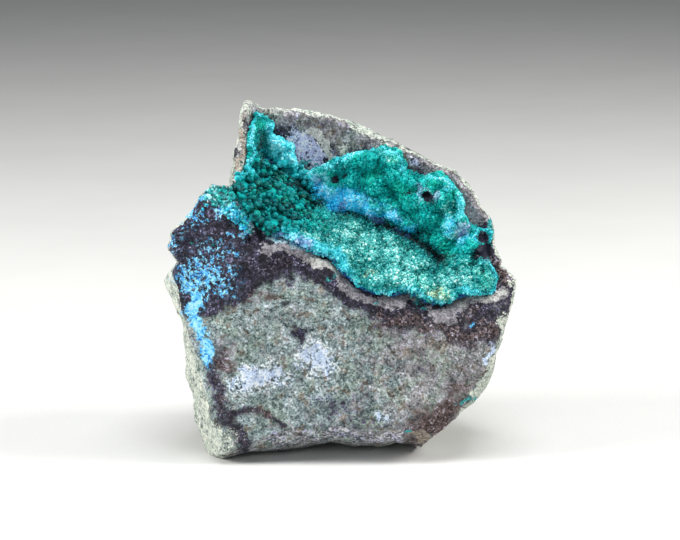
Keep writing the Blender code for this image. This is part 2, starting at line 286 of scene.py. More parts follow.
@dataclass(frozen=True)
class FacePlane:
    """How the plane of the front face stands in the world.

    It leans back by `lean` degrees. A point further out is drawn towards the middle of the view in
    proportion, because the sizes on the face are as seen from `view_distance`.
    """

    lean: float = 12.0
    foot_height: float = 1.2
    middle_depth: float = 11.2
    view_centre: float = 26.8
    view_distance: float = 359.0

    def to_world(self, across: Array, up: Array, out: Array) -> Array:
        """Turn places on the face into the world's metres.

        Args:
            across, up, out: Millimetres to the right, up along the face and out of it.

        Returns:
            Array: One row of x, y and z for each place.
        """
        nearness = 1.0 - out / self.view_distance
        across = across * nearness
        up = self.view_centre + (up - self.view_centre) * nearness
        angle = math.radians(self.lean)
        depth = up * math.sin(angle) - out * math.cos(angle) - self.middle_depth
        height = up * math.cos(angle) + out * math.sin(angle) - self.foot_height
        return np.stack([across, depth, height], axis=-1) * MM

    def out_of_face(self) -> Vector:
        """Direction in which the face looks, in the world."""
        angle = math.radians(self.lean)
        return Vector((0.0, -math.cos(angle), math.sin(angle)))


@dataclass(frozen=True)
class Outline:
    """A closed outline that every ray from its centre meets once."""

    points: tuple[Place, ...]
    centre: Place = (0.0, 24.0)

    def reach(self, angle: Array) -> Array:
        """Distance from the centre to the outline in each direction, between its points."""
        across, up = (np.array(self.points) - self.centre).T
        corners = np.arctan2(up, across)
        order = np.argsort(corners)
        lengths = np.hypot(across, up)[order]
        return np.interp(angle, corners[order], lengths, period=2.0 * math.pi)

    def inside(self, across: Array, up: Array) -> Array:
        """How far within the outline these places are, towards its centre."""
        right, top = across - self.centre[0], up - self.centre[1]
        return self.reach(np.arctan2(top, right)) - np.hypot(right, top)


FRONT_OUTLINE = Outline((
    (-13.2, 50.6), (-12.3, 50.3), (-10.9, 49.7), (-8, 49.8), (-3.9, 49.5), (-0.4, 48.6), (2.3, 47.4),
    (6.3, 45.2), (7.4, 45.1), (9.5, 43.7), (13.5, 42), (16.4, 40.8), (17.4, 39.4), (19.4, 36.4),
    (21.5, 33), (21.8, 30.3), (23.1, 28.2), (22.7, 27.4), (25, 25.5), (24.9, 24), (23.6, 20.3),
    (22, 15.3), (19.5, 8.8), (17.7, 7.2), (13.6, 3.7), (12.6, 2.9), (11.5, 1.7), (9.4, 2.5), (7.8, 2.9),
    (4, 2), (2.3, 1.7), (-1.5, 2.5), (-7.3, 1.7), (-13, 1.4), (-17.8, 0), (-18.9, 0.5), (-19.6, 3.2),
    (-20.6, 9.2), (-21.6, 13.7), (-22.2, 19.2), (-23.6, 22.8), (-25, 25.5), (-22.8, 27.9), (-24.3, 29.6),
    (-23.7, 32.2), (-22.2, 33.2), (-20.5, 36), (-18.2, 39.1), (-17.5, 38.8), (-15.4, 38.5), (-14.8, 41.6),
    (-14.9, 43.3), (-14.2, 45.7), (-14, 49),
))
BACK_OUTLINE = Outline((
    (-12, 48), (0, 48), (12, 42), (18.5, 36), (22.5, 26), (21, 13), (11, 3), (-8, 1.5), (-17, 2),
    (-21, 17), (-21, 30), (-15.5, 38.5),
))


@dataclass(frozen=True)
class Fin:
    """The thin wall left standing at the hollow's left end: a ridge along a course of tops."""

    tops: tuple[tuple[float, float, float], ...] = (
        (-15, 39, 2.8), (-14, 42.5, 1.2), (-13.4, 49, 0), (-11.2, 49.6, -3),
    )
    half_width: float = 0.6
    slope: float = 3.0
    lowest: float = -23.0

    def relief(self, across: Array, up: Array) -> Array:
        """Height of the ridge: its top, less its slope times the distance beyond its half width."""
        relief = np.full(across.shape, self.lowest)
        for start, end in zip(self.tops, self.tops[1:]):
            distance, _, share = from_line(across, up, start[:2], end[:2])
            top = start[2] + (end[2] - start[2]) * share
            fall = self.slope * np.maximum(distance - self.half_width, 0.0)
            relief = np.maximum(relief, top - fall)
        return relief


@dataclass(frozen=True)
class Hollow:
    """The hollow: a floor that slopes in from the lip, and a back wall, with the fin beside them.

    Each section holds its place across, then up and out at the lip, then up and out at the valley
    where the floor meets the wall.
    """

    sections: tuple[tuple[float, ...], ...] = (
        (-15.3, 38.1, 3.4, 40.2, 0), (-12.7, 35.4, 4.2, 41.5, -4.5), (-11.1, 32.3, 4.8, 42.6, -6.5),
        (-7.1, 31.6, 5.4, 40.6, -7.2), (-2.6, 29.1, 5.6, 37, -6.8), (2.7, 24.4, 5.7, 34.4, -6),
        (8.4, 23.3, 5.5, 32.5, -5), (14, 21.9, 5, 29.1, -3.6), (19.6, 23.6, 3.6, 29.2, -1.4),
        (23, 23.6, 2.6, 27.9, 0.6),
    )
    wall_rise: float = 0.12
    valley_radius: float = 3.0
    crevice: tuple[Place, Place] = ((-11.3, 48.0), (-11.9, 41.5))
    crevice_depth: float = 2.2
    crevice_radius: float = 1.5
    fin: Fin = Fin()
    fin_foot_radius: float = 2.0

    def _column(self, across: Array, column: int) -> Array:
        """One of the sections' values, between the sections."""
        table = np.array(self.sections)
        return np.interp(across, table[:, 0], table[:, column])

    def valley_up(self, across: Array) -> Array:
        """How far up the face the floor meets the back wall."""
        return self._column(across, 3)

    def relief(self, across: Array, up: Array) -> Array:
        """Height of the hollow's inside.

        The floor is the straight line from lip to valley, and the wall rises slowly from the valley.
        The higher of the two counts, less a bell-shaped groove along the crevice, and the fin stands
        over both.

        Args:
            across, up: Places on the face.

        Returns:
            Array: Millimetres out of the face.
        """
        lip_up, lip_out, valley_up, valley_out = (self._column(across, k) for k in (1, 2, 3, 4))
        slope = (valley_out - lip_out) / (valley_up - lip_up)
        floor = lip_out + slope * (up - lip_up)
        wall = valley_out + self.wall_rise * (up - valley_up)
        relief = soft_max(floor, wall, self.valley_radius)
        distance = from_line(across, up, *self.crevice)[0]
        relief = relief - self.crevice_depth * np.exp(-((distance / self.crevice_radius) ** 2))
        return soft_max(relief, self.fin.relief(across, up), self.fin_foot_radius)


@dataclass(frozen=True)
class BrokenFace:
    """The flat front break, with the scallop, the chip and the facet along its edges."""

    out: float = 7.0
    fall_start: float = 14.0
    left_fall: Place = (23.0, 2.8)
    right_fall: Place = (25.0, 3.0)
    scallop_middle: Place = (0.6, 5.0)
    scallop_curve: float = 0.013
    scallop_slope: float = 1.15
    chip_edges: tuple[tuple[Place, Place], ...] = (
        ((8.4, 2.9), (11.2, 4.3)), ((11.2, 4.3), (13.4, 3.4)),
    )
    chip_drop: float = 3.5
    chip_ease: float = 0.2
    facet: tuple[Place, Place] = ((-22.6, 23.5), (-16.4, 1.0))
    facet_slope: float = 1.5

    def scallop_share(self, across: Array, up: Array) -> Array:
        """How far below the arched break along the foot a place is, in millimetres, or 0."""
        middle, top = self.scallop_middle
        return np.maximum(top - self.scallop_curve * (across - middle) ** 2 - up, 0.0)

    def facet_share(self, across: Array, up: Array) -> Array:
        """How far left of the side facet's crease a place is, in millimetres, or 0."""
        return np.maximum(-from_line(across, up, *self.facet)[1], 0.0)

    def chip_share(self, across: Array, up: Array) -> Array:
        """1 on the chip where a lower layer shows, and 0 elsewhere."""
        above = [from_line(across, up, *edge)[1] for edge in self.chip_edges]
        return np.min([eased(self.chip_ease, -self.chip_ease, a) for a in above], axis=0)

    def relief(self, across: Array, up: Array) -> Array:
        """Height of the face: level in the middle, less its falls, scallop, chip and facet."""
        out = self.out - self.left_fall[1] * eased(self.fall_start, self.left_fall[0], -across)
        out = out - self.right_fall[1] * eased(self.fall_start, self.right_fall[0], across)
        out = out - self.scallop_slope * self.scallop_share(across, up)
        out = out - self.chip_drop * self.chip_share(across, up)
        return out - self.facet_slope * self.facet_share(across, up)


@dataclass(frozen=True)
class BareRock:
    """The rock's front without its roughness: the lower of the broken face and the hollow."""

    face: BrokenFace = BrokenFace()
    hollow: Hollow = Hollow()
    lip_radius: float = 0.9

    def relief(self, across: Array, up: Array) -> Array:
        """Height of the bare rock, with the lip rounded."""
        face, hollow = self.face.relief(across, up), self.hollow.relief(across, up)
        return soft_min(face, hollow, self.lip_radius)


@dataclass(frozen=True)
class CrustEdges:
    """The four edges of the crust: along the lip, on the back wall, and the two ends between."""

    lower: tuple[Place, ...] = (
        (-15.1, 38.2), (-13.1, 35.8), (-11.9, 33.6), (-10.6, 31.9), (-7.2, 31.6), (-4.7, 29.6),
        (-2.6, 29), (-0.6, 27.9), (0.4, 26.2), (2.5, 24.5), (5.2, 23.3), (9.8, 23.3), (12.3, 22.3),
        (14.3, 21.9), (17.5, 23.2), (22, 23.5),
    )
    upper: tuple[Place, ...] = (
        (-12.2, 49), (-10.6, 48.8), (-9.4, 47.6), (-9.8, 46.2), (-8.6, 45.6), (-6.8, 44.8), (-6.2, 43),
        (-4.9, 40.6), (-2.9, 41.3), (-0.8, 42.5), (4.2, 43.9), (6.3, 44.3), (8.4, 43.7), (9.4, 40.9),
        (11.2, 40.1), (14.3, 40.4), (16.1, 39.2), (17, 37.2), (17.2, 35), (18.4, 32.9), (21.6, 32.3),
    )
    left: tuple[Place, ...] = (
        (-15.1, 38.2), (-14.7, 40.2), (-12.9, 41.8), (-12.8, 45), (-12.2, 49),
    )
    right: tuple[Place, ...] = ((22.0, 23.5), (22.3, 26.2), (20.9, 28.5), (21.6, 32.3))

    @staticmethod
    def _spread(points: Sequence[Place], shares: Array) -> Array:
        """Places at these shares of the length of a line through the given points."""
        line = np.array(points)
        steps = np.hypot(*np.diff(line, axis=0).T)
        marks = np.concatenate([[0.0], np.cumsum(steps)]) / steps.sum()
        return np.stack([np.interp(shares, marks, column) for column in line.T], axis=-1)

    def patch(self, along: Array, over: Array) -> tuple[Array, Array]:
        """Stretch a patch between the four edges.

        Each place is the blend of the lower and upper edge, plus the blend of the two ends, less the
        blend of the four corners, which both of those hold.

        Args:
            along: Shares of the way from the left end to the right.
            over: Shares of the way from the lower edge to the upper.

        Returns:
            tuple: The places across and up the face.
        """
        lower, upper = self._spread(self.lower, along), self._spread(self.upper, along)
        left, right = self._spread(self.left, over), self._spread(self.right, over)
        along, over = along[..., None], over[..., None]
        first = (1.0 - along) * self.lower[0] + along * self.lower[-1]
        last = (1.0 - along) * self.upper[0] + along * self.upper[-1]
        between = (1.0 - over) * lower + over * upper + (1.0 - along) * left + along * right
        place = between - (1.0 - over) * first - over * last
        return place[..., 0], place[..., 1]

    def cover(self, across: Array, up: Array, margin: float) -> Array:
        """1 where the crust lies, easing to 0 within a margin outside it.

        A place is inside where a ray to its right crosses the edge an odd number of times.

        Args:
            across, up: Places on the face.
            margin: Width of the easing.

        Returns:
            Array: The cover.
        """
        edge = self.lower + self.right[1:-1] + self.upper[::-1] + self.left[-2:0:-1]
        distance = np.full(across.shape, np.inf)
        inside = np.zeros(across.shape, bool)
        for start, end in zip(edge, edge[1:] + edge[:1]):
            away, above, _ = from_line(across, up, start, end)
            distance = np.minimum(distance, away)
            crosses = (start[1] > up) != (end[1] > up)
            inside ^= crosses & ((above > 0.0) == (end[1] > start[1]))
        return np.where(inside, 1.0, eased(margin, 0.0, distance))


# Meshes


def placed(name: str, data: bpy.types.ID) -> bpy.types.Object:
    """Put an object with this data into the scene."""
    made = bpy.data.objects.new(name, data)
    bpy.context.scene.collection.objects.link(made)
    return made


def make_piece(name: str, points: Array, faces: list[list[int]]) -> bpy.types.Object:
    """Put points and faces into a new object that rides on the specimen's body.

    A point beyond the box of the plain solids is drawn back to it.

    Args:
        name: Name of the piece.
        points: Its points in the world, in metres.
        faces: Lists of point numbers, against the clock as seen from outside.

    Returns:
        bpy.types.Object: The new object, at the origin.
    """
    mesh = bpy.data.meshes.new(name)
    mesh.from_pydata(np.clip(points, *CAD_BOX), [], faces)
    mesh.update()
    made = placed(name, mesh)
    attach(made, BODY)
    return made


def write_marks(piece: bpy.types.Object, marks: dict[str, Array]) -> None:
    """Store each mark's values under its name, one for each point of a piece."""
    for name, values in marks.items():
        stored = piece.data.attributes.new(name, "FLOAT", "POINT")
        stored.data.foreach_set("value", np.ascontiguousarray(values, np.float32))


def grid_faces(rows: int, columns: int, first: int = 0, turned: bool = False) -> Array:
    """Number the corners of the quads of a grid.

    Args:
        rows, columns: Points down and across the grid.
        first: Number of its first point.
        turned: True to turn each face over.

    Returns:
        Array: Four point numbers for each quad.
    """
    index = first + np.arange(rows * columns).reshape(rows, columns)
    corners = [index[:-1, :-1], index[:-1, 1:], index[1:, 1:], index[1:, :-1]]
    quads = np.stack(corners, axis=-1).reshape(-1, 4)
    return quads[:, ::-1] if turned else quads


# Materials


@dataclass(frozen=True)
class Film:
    """A thin film of colour: its mark, how far noise tears its edge, half its step, and its ramp."""

    mark: str
    tear: float
    sharpness: float
    stops: Stops
    torn_by: str = "torn"
    toned_by: str = "tone"


class Recipe:
    """Builds one material. Each method adds nodes and gives back the socket that they end in."""

    def __init__(self, name: str) -> None:
        """Start an empty material with this name."""
        self.material = bpy.data.materials.new(name)
        self.material.use_nodes = True
        self.tree = self.material.node_tree
        self.place = self.tree.nodes.new("ShaderNodeTexCoord").outputs["Object"]

    def _fill(self, node: bpy.types.Node, inputs: Inputs) -> None:
        """Link each named input of a node to a socket, or set its value."""
        for name, value in inputs.items():
            if isinstance(value, Socket):
                self.tree.links.new(value, node.inputs[name])
            else:
                plain = (*value, 1.0) if isinstance(value, tuple) else value
                node.inputs[name].default_value = plain

    def _node(self, kind: str, inputs: Inputs, **settings: str) -> bpy.types.Node:
        """Add a node.

        Args:
            kind: Its type, without the ShaderNode that each starts with.
            inputs: A socket or a value for each of its inputs.
            settings: Its other properties.

        Returns:
            bpy.types.Node: The node.
        """
        node = self.tree.nodes.new(f"ShaderNode{kind}")
        for name, value in settings.items():
            setattr(node, name, value)
        self._fill(node, inputs)
        return node

    def mark(self, name: str) -> Socket:
        """Read one of the piece's marks."""
        return self._node("Attribute", {}, attribute_name=name).outputs["Fac"]

    def noise(self, size: float, detail: float = 3.0, roughness: float = 0.55) -> Socket:
        """Noise with clouds of this size in millimetres, stretched to fill the range of 0 to 1."""
        scale = 1.0 / (size * MM)
        inputs = {"Vector": self.place, "Scale": scale, "Detail": detail, "Roughness": roughness}
        return self.graded(self._node("TexNoise", inputs).outputs["Fac"], *NOISE_RANGE)

    def _cells(self, size: float) -> bpy.types.Node:
        """A field of rounded cells of this size in millimetres."""
        return self._node("TexVoronoi", {"Vector": self.place, "Scale": 1.0 / (size * MM)}, feature="F1")

    def grains(self, size: float) -> Socket:
        """A random value from 0 to 1 for each grain of this size in millimetres."""
        return self._node("SeparateColor", {"Color": self._cells(size).outputs["Color"]}).outputs["Red"]

    def grain_height(self, size: float) -> Socket:
        """Distance from the middle of each grain of this size, in grains."""
        return self._cells(size).outputs["Distance"]

    def graded(self, value: Socket, low: float, high: float) -> Socket:
        """Climb smoothly from 0 at low to 1 at high."""
        inputs = {"Value": value, "From Min": low, "From Max": high}
        return self._node("MapRange", inputs, interpolation_type="SMOOTHSTEP").outputs["Result"]

    def scaled(self, value: Socket, low: float, high: float) -> Socket:
        """Spread a value of 0 to 1 evenly from low to high."""
        return self._node("MapRange", {"Value": value, "To Min": low, "To Max": high}).outputs["Result"]

    def sum_of(self, first: Socket, second: Socket | float, weight: float = 1.0) -> Socket:
        """The first value plus a weight times the second."""
        inputs = {0: second, 1: weight, 2: first}
        return self._node("Math", inputs, operation="MULTIPLY_ADD").outputs["Value"]

    def product(self, first: Socket, second: Socket | float) -> Socket:
        """Two values multiplied."""
        return self._node("Math", {0: first, 1: second}, operation="MULTIPLY").outputs["Value"]

    def weighted(self, *parts: tuple[Socket, float]) -> Socket:
        """Add several values, each times its weight."""
        total = self.product(*parts[0])
        for value, weight in parts[1:]:
            total = self.sum_of(total, value, weight)
        return total

    def ramp(self, value: Socket, stops: Stops) -> Socket:
        """Colours along a scale.

        Args:
            value: Where on the scale each point is.
            stops: Places on the scale and their colours, in order.

        Returns:
            Socket: The colour.
        """
        node = self._node("ValToRGB", {"Fac": value})
        stretch = node.color_ramp.elements
        for element, (place, colour) in zip(stretch, (stops[0], stops[-1])):
            element.position, element.color = place, (*colour, 1.0)
        for place, colour in stops[1:-1]:
            stretch.new(place).color = (*colour, 1.0)
        return node.outputs["Color"]

    def blend(self, share: Socket | float, first: Socket, second: Socket, way: str = "MIX") -> Socket:
        """Go from the first colour to the second as the share goes from 0 to 1."""
        inputs = {0: share, 6: first, 7: second}
        return self._node("Mix", inputs, data_type="RGBA", blend_type=way).outputs[2]

    def ragged(self, mark: str, torn: Socket, tear: float, sharpness: float) -> Socket:
        """A patch with a ragged edge, where a soft mark that noise shifts passes one half.

        Args:
            mark: Name of the mark. Where it is about nought there is no patch.
            torn: Noise from 0 to 1.
            tear: How far the noise shifts the mark.
            sharpness: Half the width of the step at one half.

        Returns:
            Socket: 1 in the patch and 0 outside it.
        """
        soft = self.mark(mark)
        shifted = self.sum_of(soft, self.sum_of(torn, -0.5), tear)
        patch = self.graded(shifted, 0.5 - sharpness, 0.5 + sharpness)
        return self.product(patch, self.graded(soft, *FAINT_MARK))

    def filmed(self, colour: Socket, film: Film, torn: Socket, tone: Socket) -> Socket:
        """Lay a film over a colour, with its edge torn by noise and its ramp read by tone."""
        share = self.ragged(film.mark, torn, film.tear, film.sharpness)
        return self.blend(share, colour, self.ramp(tone, film.stops))

    def rough_skin(self, height: Socket, depth: float) -> Socket:
        """Tilt the surface as a relief of this depth in millimetres would."""
        inputs = {"Strength": 1.0, "Distance": depth * MM, "Height": height}
        return self._node("Bump", inputs).outputs["Normal"]

    def done(self, colour: Socket, roughness: Socket | float, normal: Socket,
             **fixed: float) -> bpy.types.Material:
        """Wire up the shader.

        Args:
            colour: Base colour.
            roughness: Roughness of the surface.
            normal: Normal with the surface's relief.
            fixed: Other inputs of the shader, by name with _ for each space.

        Returns:
            bpy.types.Material: The finished material.
        """
        inputs = {"Base Color": colour, "Roughness": roughness, "Normal": normal}
        inputs |= {name.replace("_", " "): value for name, value in fixed.items()}
        self._fill(self.tree.nodes["Principled BSDF"], inputs)
        return self.material


@dataclass(frozen=True)
class RockFinish:
    """The rock's finish: green-grey grains, a dark band, pale and blue films, and pale edges that are
    partly painted rim highlight.

    Grain and speck are sizes in millimetres. A noise is its size, its finer layers and how strong
    they are.
    """

    grain: float = 0.38
    speck: float = 0.24
    hue: float = 0.62
    cloud: Noise = (2.2, 3.0, 0.55)
    fine: Noise = (0.24, 3.0, 0.7)
    lacy: Noise = (0.85, 5.0, 0.78)
    net: Noise = (0.62, 5.0, 0.78)
    patch: Noise = (1.1, 4.0, 0.62)
    sage_cloud: Noise = (3.1, 4.0, 0.6)
    ochre_cloud: Noise = (1.4, 4.0, 0.7)
    sage_share: float = 0.5
    ochre_share: float = 0.75
    relief: float = 0.22
    gloss: float = 0.32
    green: Stops = (
        (0.16, (0.012, 0.02, 0.028)), (0.34, (0.1, 0.145, 0.158)), (0.5, (0.245, 0.325, 0.335)),
        (0.66, (0.44, 0.55, 0.56)), (0.84, (0.8, 0.92, 1)),
    )
    warm: Stops = (
        (0.16, (0.016, 0.016, 0.022)), (0.34, (0.12, 0.12, 0.13)), (0.5, (0.27, 0.268, 0.28)),
        (0.66, (0.44, 0.44, 0.46)), (0.84, (0.83, 0.85, 0.96)),
    )
    sage: Stops = (
        (0.16, (0.018, 0.03, 0.028)), (0.4, (0.155, 0.228, 0.188)), (0.62, (0.4, 0.52, 0.43)),
        (0.84, (0.78, 0.9, 0.84)),
    )
    ochre: Stops = (
        (0.16, (0.02, 0.012, 0.01)), (0.5, (0.2, 0.15, 0.11)), (0.84, (0.52, 0.46, 0.36)),
    )
    films: tuple[Film, ...] = (
        Film("pale", 1.5, 0.18, (
            (0.2, (0.23, 0.29, 0.38)), (0.45, (0.54, 0.69, 0.95)), (0.75, (0.95, 0.99, 1)),
        )),
        Film("dark", 1.4, 0.12, (
            (0.2, (0.002, 0.002, 0.006)), (0.48, (0.013, 0.011, 0.024)), (0.66, (0.05, 0.042, 0.08)),
            (0.8, (0.19, 0.18, 0.32)), (0.92, (0.64, 0.68, 0.9)),
        )),
        Film("rust", 1.5, 0.24, (
            (0.2, (0.006, 0.004, 0.006)), (0.46, (0.068, 0.042, 0.04)), (0.66, (0.2, 0.14, 0.14)),
            (0.86, (0.6, 0.6, 0.74)),
        )),
        Film("lilac", 1.4, 0.2, (
            (0.2, (0.24, 0.22, 0.36)), (0.46, (0.62, 0.63, 0.96)), (0.8, (1, 1, 1)),
        )),
        Film("lip", 0.6, 0.08, (
            (0.18, (0.064, 0.06, 0.076)), (0.45, (0.23, 0.218, 0.245)), (0.78, (0.54, 0.52, 0.56)),
        )),
        Film("bone", 0.7, 0.08, (
            (0.15, (0.24, 0.23, 0.22)), (0.5, (0.56, 0.56, 0.54)), (0.85, (0.9, 0.9, 0.88)),
        )),
        # Pale colour of the fin and edges, with the painted rim highlight.
        Film("cream_and_rim_highlight", 0.9, 0.14, (
            (0.18, (0.06, 0.064, 0.06)), (0.36, (0.3, 0.345, 0.31)), (0.54, (0.56, 0.63, 0.56)),
            (0.82, (0.9, 0.9, 0.79)),
        )),
        Film("tan", 0.5, 0.1, (
            (0.15, (0.09, 0.066, 0.054)), (0.45, (0.33, 0.27, 0.22)), (0.8, (0.76, 0.68, 0.59)),
        )),
        Film("teal", 1.2, 0.08, (
            (0, (0, 0.08, 0.09)), (0.5, (0.006, 0.3, 0.31)), (1, (0.16, 0.68, 0.68)),
        ), torn_by="lacy", toned_by="fine"),
        Film("blue", 1.5, 0.05, (
            (0.15, (0.02, 0.09, 0.38)), (0.36, (0.05, 0.34, 0.82)), (0.54, (0.12, 0.61, 1)),
            (0.84, (0.44, 0.86, 1)),
        ), torn_by="net", toned_by="bluest"),
        Film("snow", 1.5, 0.06, (
            (0.1, (0.02, 0.2, 0.34)), (0.4, (0.11, 0.48, 0.66)), (0.65, (0.46, 0.78, 0.9)),
            (0.9, (0.9, 0.98, 1)),
        ), torn_by="lacy", toned_by="shards"),
    )

    def material(self) -> bpy.types.Material:
        """Mix the finish: grains first, then each film over them in turn.

        Returns:
            bpy.types.Material: The rock's material.
        """
        mix = Recipe("granular rock")
        grain, speck = mix.grains(self.grain), mix.grains(self.speck)
        noises = self.cloud, self.fine, self.lacy, self.net, self.patch
        cloud, fine, lacy, net, patch = (mix.noise(*noise) for noise in noises)
        tone = mix.weighted((grain, 0.19), (speck, 0.3), (fine, 0.25), (cloud, 0.12), (patch, 0.16))
        torn = mix.weighted((grain, 0.2), (speck, 0.25), (fine, 0.15), (lacy, 0.4))
        shards = mix.weighted((lacy, 0.55), (speck, 0.5))
        bluest = mix.weighted((shards, 1.0), (mix.mark("blue"), 0.09))
        hue = mix.weighted((mix.mark("warm"), 1.0), (cloud, 0.45), (mix.grains(self.hue), 0.6))
        warm = mix.graded(hue, 0.45, 1.25)
        colour = mix.blend(warm, mix.ramp(tone, self.green), mix.ramp(tone, self.warm))
        sage = mix.product(mix.graded(mix.noise(*self.sage_cloud), 0.5, 0.8), self.sage_share)
        colour = mix.blend(sage, colour, mix.ramp(tone, self.sage))
        ochre = mix.product(mix.graded(mix.noise(*self.ochre_cloud), 0.66, 0.9), self.ochre_share)
        colour = mix.blend(ochre, colour, mix.ramp(tone, self.ochre))
        fields = {
            "torn": torn, "lacy": lacy, "net": net, "tone": tone, "fine": fine, "shards": shards,
            "bluest": bluest,
        }
        for film in self.films:
            colour = mix.filmed(colour, film, fields[film.torn_by], fields[film.toned_by])
        height = mix.weighted((mix.grain_height(self.grain), 0.8), (fine, 0.6), (speck, 0.5))
        skin = mix.rough_skin(height, self.relief)
        return mix.done(colour, mix.scaled(speck, 0.95, 0.4), skin, Specular_IOR_Level=self.gloss)


@dataclass(frozen=True)
class DruseFinish:
    """The finish of crust and crystals: glassy teal, mint where it is thick, blue in patches."""

    name: str
    roughness: float = 0.26
    gloss: float = 0.3
    relief: float = 0.05
    fine: Noise = (0.26, 3.0, 0.65)
    cloud: Noise = (2.6, 3.0, 0.55)
    tearing: Noise = (0.9, 3.0, 0.7)
    teal: Stops = (
        (0.05, (0, 0.008, 0.01)), (0.28, (0, 0.075, 0.082)), (0.5, (0, 0.235, 0.24)),
        (0.75, (0.002, 0.48, 0.46)), (1, (0.12, 0.8, 0.76)),
    )
    green: Stops = (
        (0.05, (0, 0.01, 0.009)), (0.28, (0, 0.09, 0.074)), (0.5, (0, 0.27, 0.205)),
        (0.75, (0.002, 0.52, 0.4)), (1, (0.09, 0.82, 0.68)),
    )
    films: tuple[Film, ...] = (
        Film("mint", 0.9, 0.34, (
            (0.05, (0, 0.02, 0.024)), (0.28, (0, 0.14, 0.145)), (0.48, (0.008, 0.36, 0.35)),
            (0.66, (0.2, 0.7, 0.67)), (0.88, (0.95, 1, 1)),
        )),
        Film("sand", 1.0, 0.2, (
            (0.05, (0.08, 0.2, 0.14)), (0.45, (0.4, 0.6, 0.4)), (1, (0.92, 0.96, 0.72)),
        )),
        Film("cyan", 0.9, 0.25, (
            (0.05, (0, 0.13, 0.15)), (0.4, (0.008, 0.43, 0.48)), (0.66, (0.1, 0.72, 0.84)),
            (0.95, (0.64, 0.98, 1)),
        )),
        Film("blue", 0.8, 0.3, (
            (0.05, (0.002, 0.07, 0.23)), (0.3, (0.006, 0.4, 0.76)), (0.58, (0.036, 0.66, 1)),
            (0.95, (0.56, 0.9, 1)),
        )),
        Film("haze", 0.9, 0.3, (
            (0.05, (0.02, 0.09, 0.22)), (0.45, (0.15, 0.34, 0.6)), (0.9, (0.64, 0.8, 0.98)),
        )),
        Film("navy", 0.5, 0.12, (
            (0.05, (0.002, 0.012, 0.06)), (0.6, (0.004, 0.07, 0.22)), (1, (0.02, 0.26, 0.48)),
        )),
        # The dark nodules' own colour, and painted shade in the cup and the small holes.
        Film("dark", 0.8, 0.12, (
            (0.05, (0.003, 0.004, 0.009)), (0.6, (0.013, 0.015, 0.028)), (0.95, (0.09, 0.09, 0.13)),
        )),
    )

    def material(self) -> bpy.types.Material:
        """Mix the finish from the tone of each crystal and the marks of each region.

        Returns:
            bpy.types.Material: The druse's material.
        """
        mix = Recipe(self.name)
        fine, cloud = mix.noise(*self.fine), mix.noise(*self.cloud)
        # The tone mark carries painted light and shade, and the crystals' tone by chance.
        tone = mix.weighted((mix.mark("tone"), 0.88), (fine, 0.14))
        torn = mix.weighted((fine, 0.5), (mix.noise(*self.tearing), 0.5))
        greener = mix.graded(cloud, 0.4, 1.25)
        colour = mix.blend(greener, mix.ramp(tone, self.teal), mix.ramp(tone, self.green))
        for film in self.films:
            colour = mix.filmed(colour, film, torn, tone)
        rough = mix.scaled(fine, self.roughness, self.roughness + 0.25)
        skin = mix.rough_skin(fine, self.relief)
        return mix.done(colour, rough, skin, IOR=1.5, Specular_IOR_Level=self.gloss)


# Sub-assemblies


